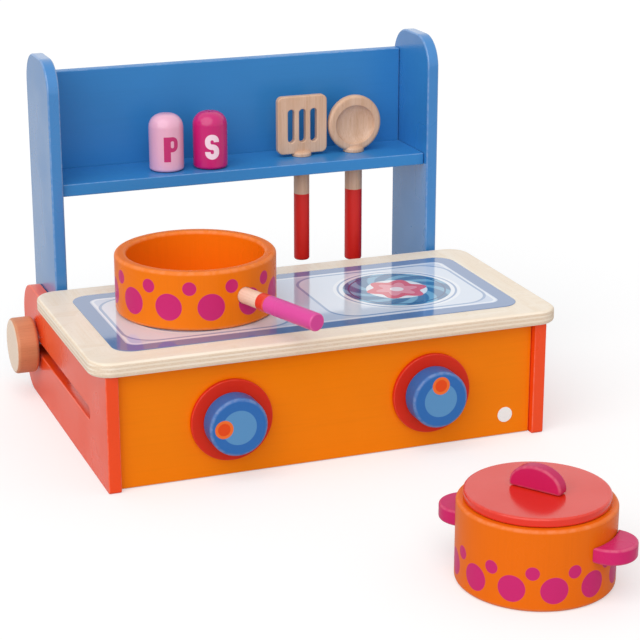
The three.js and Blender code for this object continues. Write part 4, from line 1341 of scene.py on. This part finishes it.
# %% [markdown]
# ## The lid's handle
# A magenta board like half a coin stands on the lid. Its outline is half an ellipse on a straight
# foot with small round corners, and the same rounded edges as any board make it soft to hold.

# %% Lid handle
COIN_HALF, COIN_TALL, COIN_THICK, COIN_EDGE = 19.5, 17.0, 10.0, 2.0
COIN_BULGE, COIN_FOOT = 3.0, 2.4
low, _ = span("lid_handle")
coin = [*arc(0, COIN_BULGE, COIN_HALF, 0, 180, 40, (COIN_TALL - COIN_BULGE) / COIN_HALF),
        *arc(COIN_FOOT - COIN_HALF, COIN_FOOT, COIN_FOOT, 180, 270, 5),
        *arc(COIN_HALF - COIN_FOOT, COIN_FOOT, COIN_FOOT, 270, 360, 5)]
across = pot_way.cross(Z)
foot = Vector((pot_middle.x, pot_middle.y, low.z)) - across * (COIN_THICK / 2)
dress("lid_grip", board(coin, [], COIN_THICK, COIN_EDGE, 5), placed(pot_way, Z, across, foot),
      painted("magenta lid grip paint", "c81e5c", grain=0, roughness=0.3, wear_and_highlight=0.3), "lid_handle")

# %% [markdown]
# ## A row of slots
# The spatula's blade has three long slots. They are one cutter repeated along a line, so a geometry
# node tree sets out the row and takes it away from the blade. The cutter flares at both faces,
# which leaves the slots with rounded rims, as sanding does.


# %% A row of slots as a geometry node tree
def row_tree():
    graph, (blade, tool, count, pitch, height, material) = tree_with(
        "Row of slots", ("Cutter", "Object"), ("Count", "Int"), ("Pitch", "Float"),
        ("Height", "Float"), ("Material", "Material"))
    start = graph.combine((count - 1) * pitch * -0.5, height, 0.0)
    offset = graph.combine(pitch, 0.0, 0.0)
    line = graph.add("GeometryNodeMeshLine", {"mode": "OFFSET"},
                     {"Count": count, "Start Location": start, "Offset": offset})
    shape = graph.add("GeometryNodeObjectInfo", None, {"Object": tool}, "Geometry")
    slots = graph.add("GeometryNodeInstanceOnPoints", None, {"Points": line, "Instance": shape})
    return tree_end(graph, taken_away(graph, blade, slots), material)


ROW = row_tree()
print("row tree:", len(ROW.nodes), "nodes")

# %% [markdown]
# ## Dipped handles
# Both utensils are natural beech with handles dipped in red paint. The dip stops at a level line,
# so the material compares the height with it. The shaft runs through the shelf, and a small collar
# and dome carry the utensil's weight on it.

# %% Utensil shafts and finishes
DIP_BELOW_SHELF = 33.0
DIP_TONE = "d81408"
SHAFT_EDGE, COLLAR_GAP, COLLAR_TOP, DOME_FOOT = 1.8, 0.3, 1.6, 2.2


def dipped(level):
    """Adds red paint below a level."""

    def add(f, colour):
        _, _, z = f.xyz()
        uneven = z + f.noise(0.12, 1.0) * 0.8
        return f.mix(f.step(uneven, level + 0.7, level + 0.1), colour, paint(DIP_TONE))

    return add


utensil_wood = natural("utensil beech", "dcb89e", "c69a78", 2, dipped(SHELF_TOP - DIP_BELOW_SHELF))


def shaft(radius, length, collar, dome):
    """A turned handle drawn with the shelf's top at zero, its collar and its dome."""
    top = arc(0, DOME_FOOT, collar, 0, 90, 10, dome / collar)
    points = [(0, -length), *fillet(radius - SHAFT_EDGE, SHAFT_EDGE - length, SHAFT_EDGE, -90, 0),
              (radius, COLLAR_GAP), (collar, COLLAR_GAP), (collar, COLLAR_TOP), *top]
    return turned(points, utensil_wood, 48)


print("utensil material:", utensil_wood.name)

# %% [markdown]
# ## The spatula
# The blade is a thin board, drawn flat and stood up, with its slots taken out by the tree above.
# The turned shaft is joined to it, so that the spatula is one closed solid, like the carved one.

# %% Spatula
BLADE_WIDE, BLADE_TALL, BLADE_THICK, BLADE_CORNER, BLADE_EDGE = 44.6, 50.0, 6.5, 5.0, 1.2
SLOT_REACH, SLOT_HALF, SLOT_EDGE, SLOT_PITCH, SLOT_HEIGHT = 11.35, 3.0, 0.9, 10.2, 24.3
blade_outline = rounded(-BLADE_WIDE / 2, 0, BLADE_WIDE / 2, BLADE_TALL, (BLADE_CORNER,) * 4, 10)
slot_outline = [*arc(0, SLOT_REACH, SLOT_HALF, 0, 180, 8),
                *arc(0, -SLOT_REACH, SLOT_HALF, 180, 360, 8)]
slot_cutter = linked("slot cutter", cutter(slot_outline, BLADE_THICK, SLOT_EDGE))
blade = run_tree(board(blade_outline, [], BLADE_THICK, BLADE_EDGE, 4), ROW, Cutter=slot_cutter,
                 Count=3, Pitch=SLOT_PITCH, Height=SLOT_HEIGHT, Material=utensil_wood)
bpy.data.objects.remove(slot_cutter)
blade.transform(Matrix.Translation((0, BLADE_THICK / 2, DOME_FOOT))
                @ Matrix((X, Z, -Y)).transposed().to_4x4())
spatula = with_tool(blade, shaft(SPATULA_SHAFT, 92.3, collar=8.4, dome=3.0), "UNION")
dress("spatula_turned", spatula, placed(X, Y, Z, (SPATULA_X, UTENSIL_Y, SHELF_TOP)), utensil_wood,
      "spatula")

# %% [markdown]
# ## The spoon's head
# The round head is carved, not turned. It is built as a stack of ellipses: from the bottom of the
# bowl up to its lip, over the flat rim, round the outer edge and across the back. Each ellipse has
# its own width, height, centre and depth, and walls between them give a closed head.

# %% Spoon head
HEAD_WIDE, HEAD_TALL, HEAD_MIDDLE = 24.0, 24.5, 24.8
BOWL_WIDE, BOWL_TALL, BOWL_MIDDLE = 17.7, 16.7, 23.7
BOWL_LIP, BOWL_DEPTH, BOWL_RINGS = -3.9, 5.1, 10
RIM_FACE, RIM_EDGE, HEAD_BACK = -4.4, 2.6, 4.4


def stacked_ellipses(rings, steps=64):
    """A closed solid from ellipses (half width, half height, centre height, depth)."""
    form = bmesh.new()
    angles = [math.tau * at / steps for at in range(steps)]
    rows = [[form.verts.new((wide * math.cos(angle), depth, middle + tall * math.sin(angle)))
             for angle in angles] for wide, tall, middle, depth in rings]
    walls(form, rows)
    form.faces.new(rows[0])
    form.faces.new(rows[-1])
    return mesh_of(form)


rings = []
for at in range(1, BOWL_RINGS + 1):
    angle = math.radians(90 / BOWL_RINGS * at)
    rings.append((BOWL_WIDE * math.sin(angle), BOWL_TALL * math.sin(angle), BOWL_MIDDLE,
                  BOWL_LIP + BOWL_DEPTH * math.cos(angle)))
rings += [(BOWL_WIDE + 0.3, BOWL_TALL + 0.3, BOWL_MIDDLE, -4.2),
          (BOWL_WIDE + 0.8, BOWL_TALL + 0.8, 23.8, RIM_FACE), (21.0, 21.3, 24.5, RIM_FACE)]
for x, depth in [*arc(-RIM_EDGE, RIM_FACE + RIM_EDGE, RIM_EDGE, -90, 0, 6),
                 *arc(-HEAD_BACK, 0.0, HEAD_BACK, 0, 90, 8)]:
    rings.append((HEAD_WIDE + x, HEAD_TALL + x, HEAD_MIDDLE, depth))
rings += [(10.0, 10.0, HEAD_MIDDLE, HEAD_BACK), (1.0, 1.0, HEAD_MIDDLE, HEAD_BACK)]
spoon_head = stacked_ellipses(rings)
print("ellipses in the spoon's head:", len(rings))

# %% [markdown]
# ## The spoon
# The head and a shaft like the spatula's are joined into one solid. Its collar is a little wider,
# because the spoon's shaft is thicker.

# %% Spoon
spoon = with_tool(spoon_head, shaft(SPOON_SHAFT, 96.7, collar=9.0, dome=3.4), "UNION")
dress("spoon_carved", spoon, placed(X, Y, Z, (SPOON_X, UTENSIL_Y, SHELF_TOP)), utensil_wood,
      "spoon")

# %% [markdown]
# ## Letters for the shakers
# A plain P and S are printed on the shakers. Each letter is a signed distance made from simple
# forms: the minimum of two distances joins two forms, and the maximum with one of them reversed
# cuts it away. Text as an object would stand on the wall, while a printed letter is only a colour.


# %% Letters
def joined(f, first, second):
    return f.math("MINIMUM", first, second)


def cut_away(f, first, second):
    return f.math("MAXIMUM", first, second * -1.0)


def letter_p(f, u, v):
    stem = box_distance(f, u + 3.3, v, 2.9, 10.5, 0.5)
    bowl = box_distance(f, u, v - 4.1, 6.2, 6.4, 5.2)
    hole = box_distance(f, u - 1.1, v - 4.1, 1.4, 2.9, 1.3)
    return joined(f, stem, cut_away(f, bowl, hole))


def letter_s(f, u, v):
    def arch(rise, quarter):
        return cut_away(f, abs(box_distance(f, u, rise, 3.7, 4.1, 3.6)) - 2.3, quarter)

    up, down = v - 4.1, v + 4.1
    return joined(f, arch(up, f.math("MAXIMUM", u * -1.0 + 0.5, up)),
                  arch(down, f.math("MAXIMUM", u + 0.5, down * -1.0)))


def lettered(shape, centre, radius, middle, facing, tone):
    """Prints a letter on a turned wall, in the middle of the side that faces this angle."""
    cos, sin = math.cos(math.radians(facing)), math.sin(math.radians(facing))

    def add(f, colour):
        x, y, z = f.xyz()
        dx, dy = x - centre.x, y - centre.y
        u = f.math("ARCTAN2", dy * cos - dx * sin, dx * cos + dy * sin) * radius
        return f.mix(within(f, shape(f, u, z - middle), 0.0, 0.15), colour, paint(tone))

    return add


print("letters: P and S, 21 mm tall and 12 mm wide")

# %% [markdown]
# ## Holes in the shakers
# Each shaker has three small holes in its domed top. A geometry node tree drills them: it puts a
# drill on each point of a circle and takes all of them away from the dome.


# %% Drilled holes as a geometry node tree
def drill_tree():
    graph, (body, holes, ring_radius, hole_radius, depth, top, material) = tree_with(
        "Ring of holes", ("Holes", "Int"), ("Ring radius", "Float"), ("Hole radius", "Float"),
        ("Depth", "Float"), ("Top", "Float"), ("Material", "Material"))
    points = graph.add("GeometryNodeMeshCircle", None, {"Vertices": holes, "Radius": ring_radius})
    drill = graph.add("GeometryNodeMeshCylinder", None,
                      {"Vertices": 20, "Radius": hole_radius, "Depth": depth * 2.0})
    drills = graph.add("GeometryNodeInstanceOnPoints", None, {"Points": points, "Instance": drill})
    raised = graph.add("GeometryNodeTransform", None,
                       {"Geometry": drills, "Translation": graph.combine(0.0, 0.0, top)})
    return tree_end(graph, taken_away(graph, body, raised), material)


DRILL = drill_tree()
print("drill tree:", len(DRILL.nodes), "nodes")

# %% [markdown]
# ## The shakers
# Both shakers are the same turned block with a domed top, one pale pink and one magenta. One loop
# makes both, so only their colours, their letters and the way that these face are listed.

# %% Shakers
SHAKER, SHAKER_TALL, SHAKER_FOOT, SHAKER_DOME = 14.5, 47.2, 2.5, 11.0
LETTER_MIDDLE = 19.5
shakers = (("pepper", "eab0ca", "pale pink shaker paint", letter_p, -90.0, "c4206e"),
           ("salt", "ca1070", "magenta shaker paint", letter_s, -101.0, "f6dcea"))
profile = [point[:2] for point in block(SHAKER, SHAKER_TALL, SHAKER_FOOT, SHAKER_DOME)]
for name, tone, label, letter, facing, ink in shakers:
    low, high = span(name + "_shaker")
    centre = (low + high) / 2
    printed = lettered(letter, centre, SHAKER, low.z + LETTER_MIDDLE, facing, ink)
    finish = painted(label, tone, grain=2, roughness=0.22, wear_and_highlight=0.2, printed=printed, coat=0.5,
                     gloss=0.35)
    drilled = run_tree(turned(profile, finish, 96), DRILL, Holes=3, Ring_radius=2.6,
                       Hole_radius=1.0, Depth=4.0, Top=SHAKER_TALL, Material=finish)
    dress(name + "_turned", faced_out(drilled), standing(centre, low.z), None, name + "_shaker")

# %% [markdown]
# ## The floor
# The toy stands on a plain floor that takes its shadow. A white floor would throw much light back
# at the toy, so it is grey, and a glow that only the camera sees lifts it to the white of a product
# picture.

# %% Floor
FLOOR = 8.0
FLOOR_GLOW = 0.4
floor_mesh = bpy.data.meshes.new("floor")
corners = [(-FLOOR, -FLOOR, 0), (FLOOR, -FLOOR, 0), (FLOOR, FLOOR, 0), (-FLOOR, FLOOR, 0)]
floor_mesh.from_pydata(corners, [], [(0, 1, 2, 3)])
linked("floor", floor_mesh)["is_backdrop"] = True
ground = Finish("white studio floor")
seen = ground.add("ShaderNodeLightPath", output="Is Camera Ray")
glow = ground.mix(seen, (0.0, 0.0, 0.0, 1.0), (1.0, 1.0, 1.0, 1.0))
floor_mesh.materials.append(ground.finish(
    Base_Color=(0.65, 0.65, 0.65, 1.0), Roughness=0.9, Specular_IOR_Level=0.0,
    Emission_Color=glow, Emission_Strength=FLOOR_GLOW))
print("floor reaches", FLOOR, "m")

# %% [markdown]
# ## Light
# Soft studio light comes from a white world on all sides, and from a very wide sun at the upper
# left that gives the shadows a side. Together they give a level face about its own colour. The
# world looks full white only to the camera and in reflections, and lights the toy with less.

# %% World and sun
AMBIENT = 0.6
SUN, SUN_SPREAD = 1.8, math.radians(75)
SUN_WAY = Vector((0.68, 0.72, -0.85))
world = bpy.data.worlds.new("studio")
bpy.context.scene.world = world
world.use_nodes = True
sky = Graph(world.node_tree)
path = sky.add("ShaderNodeLightPath", output="Is Camera Ray")
sky_seen = sky.math("MAXIMUM", path, path.other("Is Glossy Ray"))
backdrop = world.node_tree.nodes["Background"]
sky.feed(backdrop.inputs["Color"], (1.0, 1.0, 1.0, 1.0))
sky.feed(backdrop.inputs["Strength"], sky_seen * (1 - AMBIENT) + AMBIENT)
sun = bpy.data.lights.new("sun", "SUN")
sun.energy, sun.angle = SUN, SUN_SPREAD
linked("sun", sun).rotation_euler = SUN_WAY.to_track_quat("-Z", "Y").to_euler()
bpy.context.scene.view_settings.view_transform = "Standard"
print("ambient", AMBIENT, "sun", SUN)

# %% [markdown]
# ## Sizes, and the end
# Both boxes, the CAD model's and the dressed model's, are printed for a look. The dressed model
# has to stay inside the CAD model's box.

# %% Write the sizes and finish
look_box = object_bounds()
boxes = {"cad": [list(corner) for corner in cad_box], "look": [list(corner) for corner in look_box]}
for title, box in boxes.items():
    print(title, "box", [[round(value, 4) for value in corner] for corner in box])
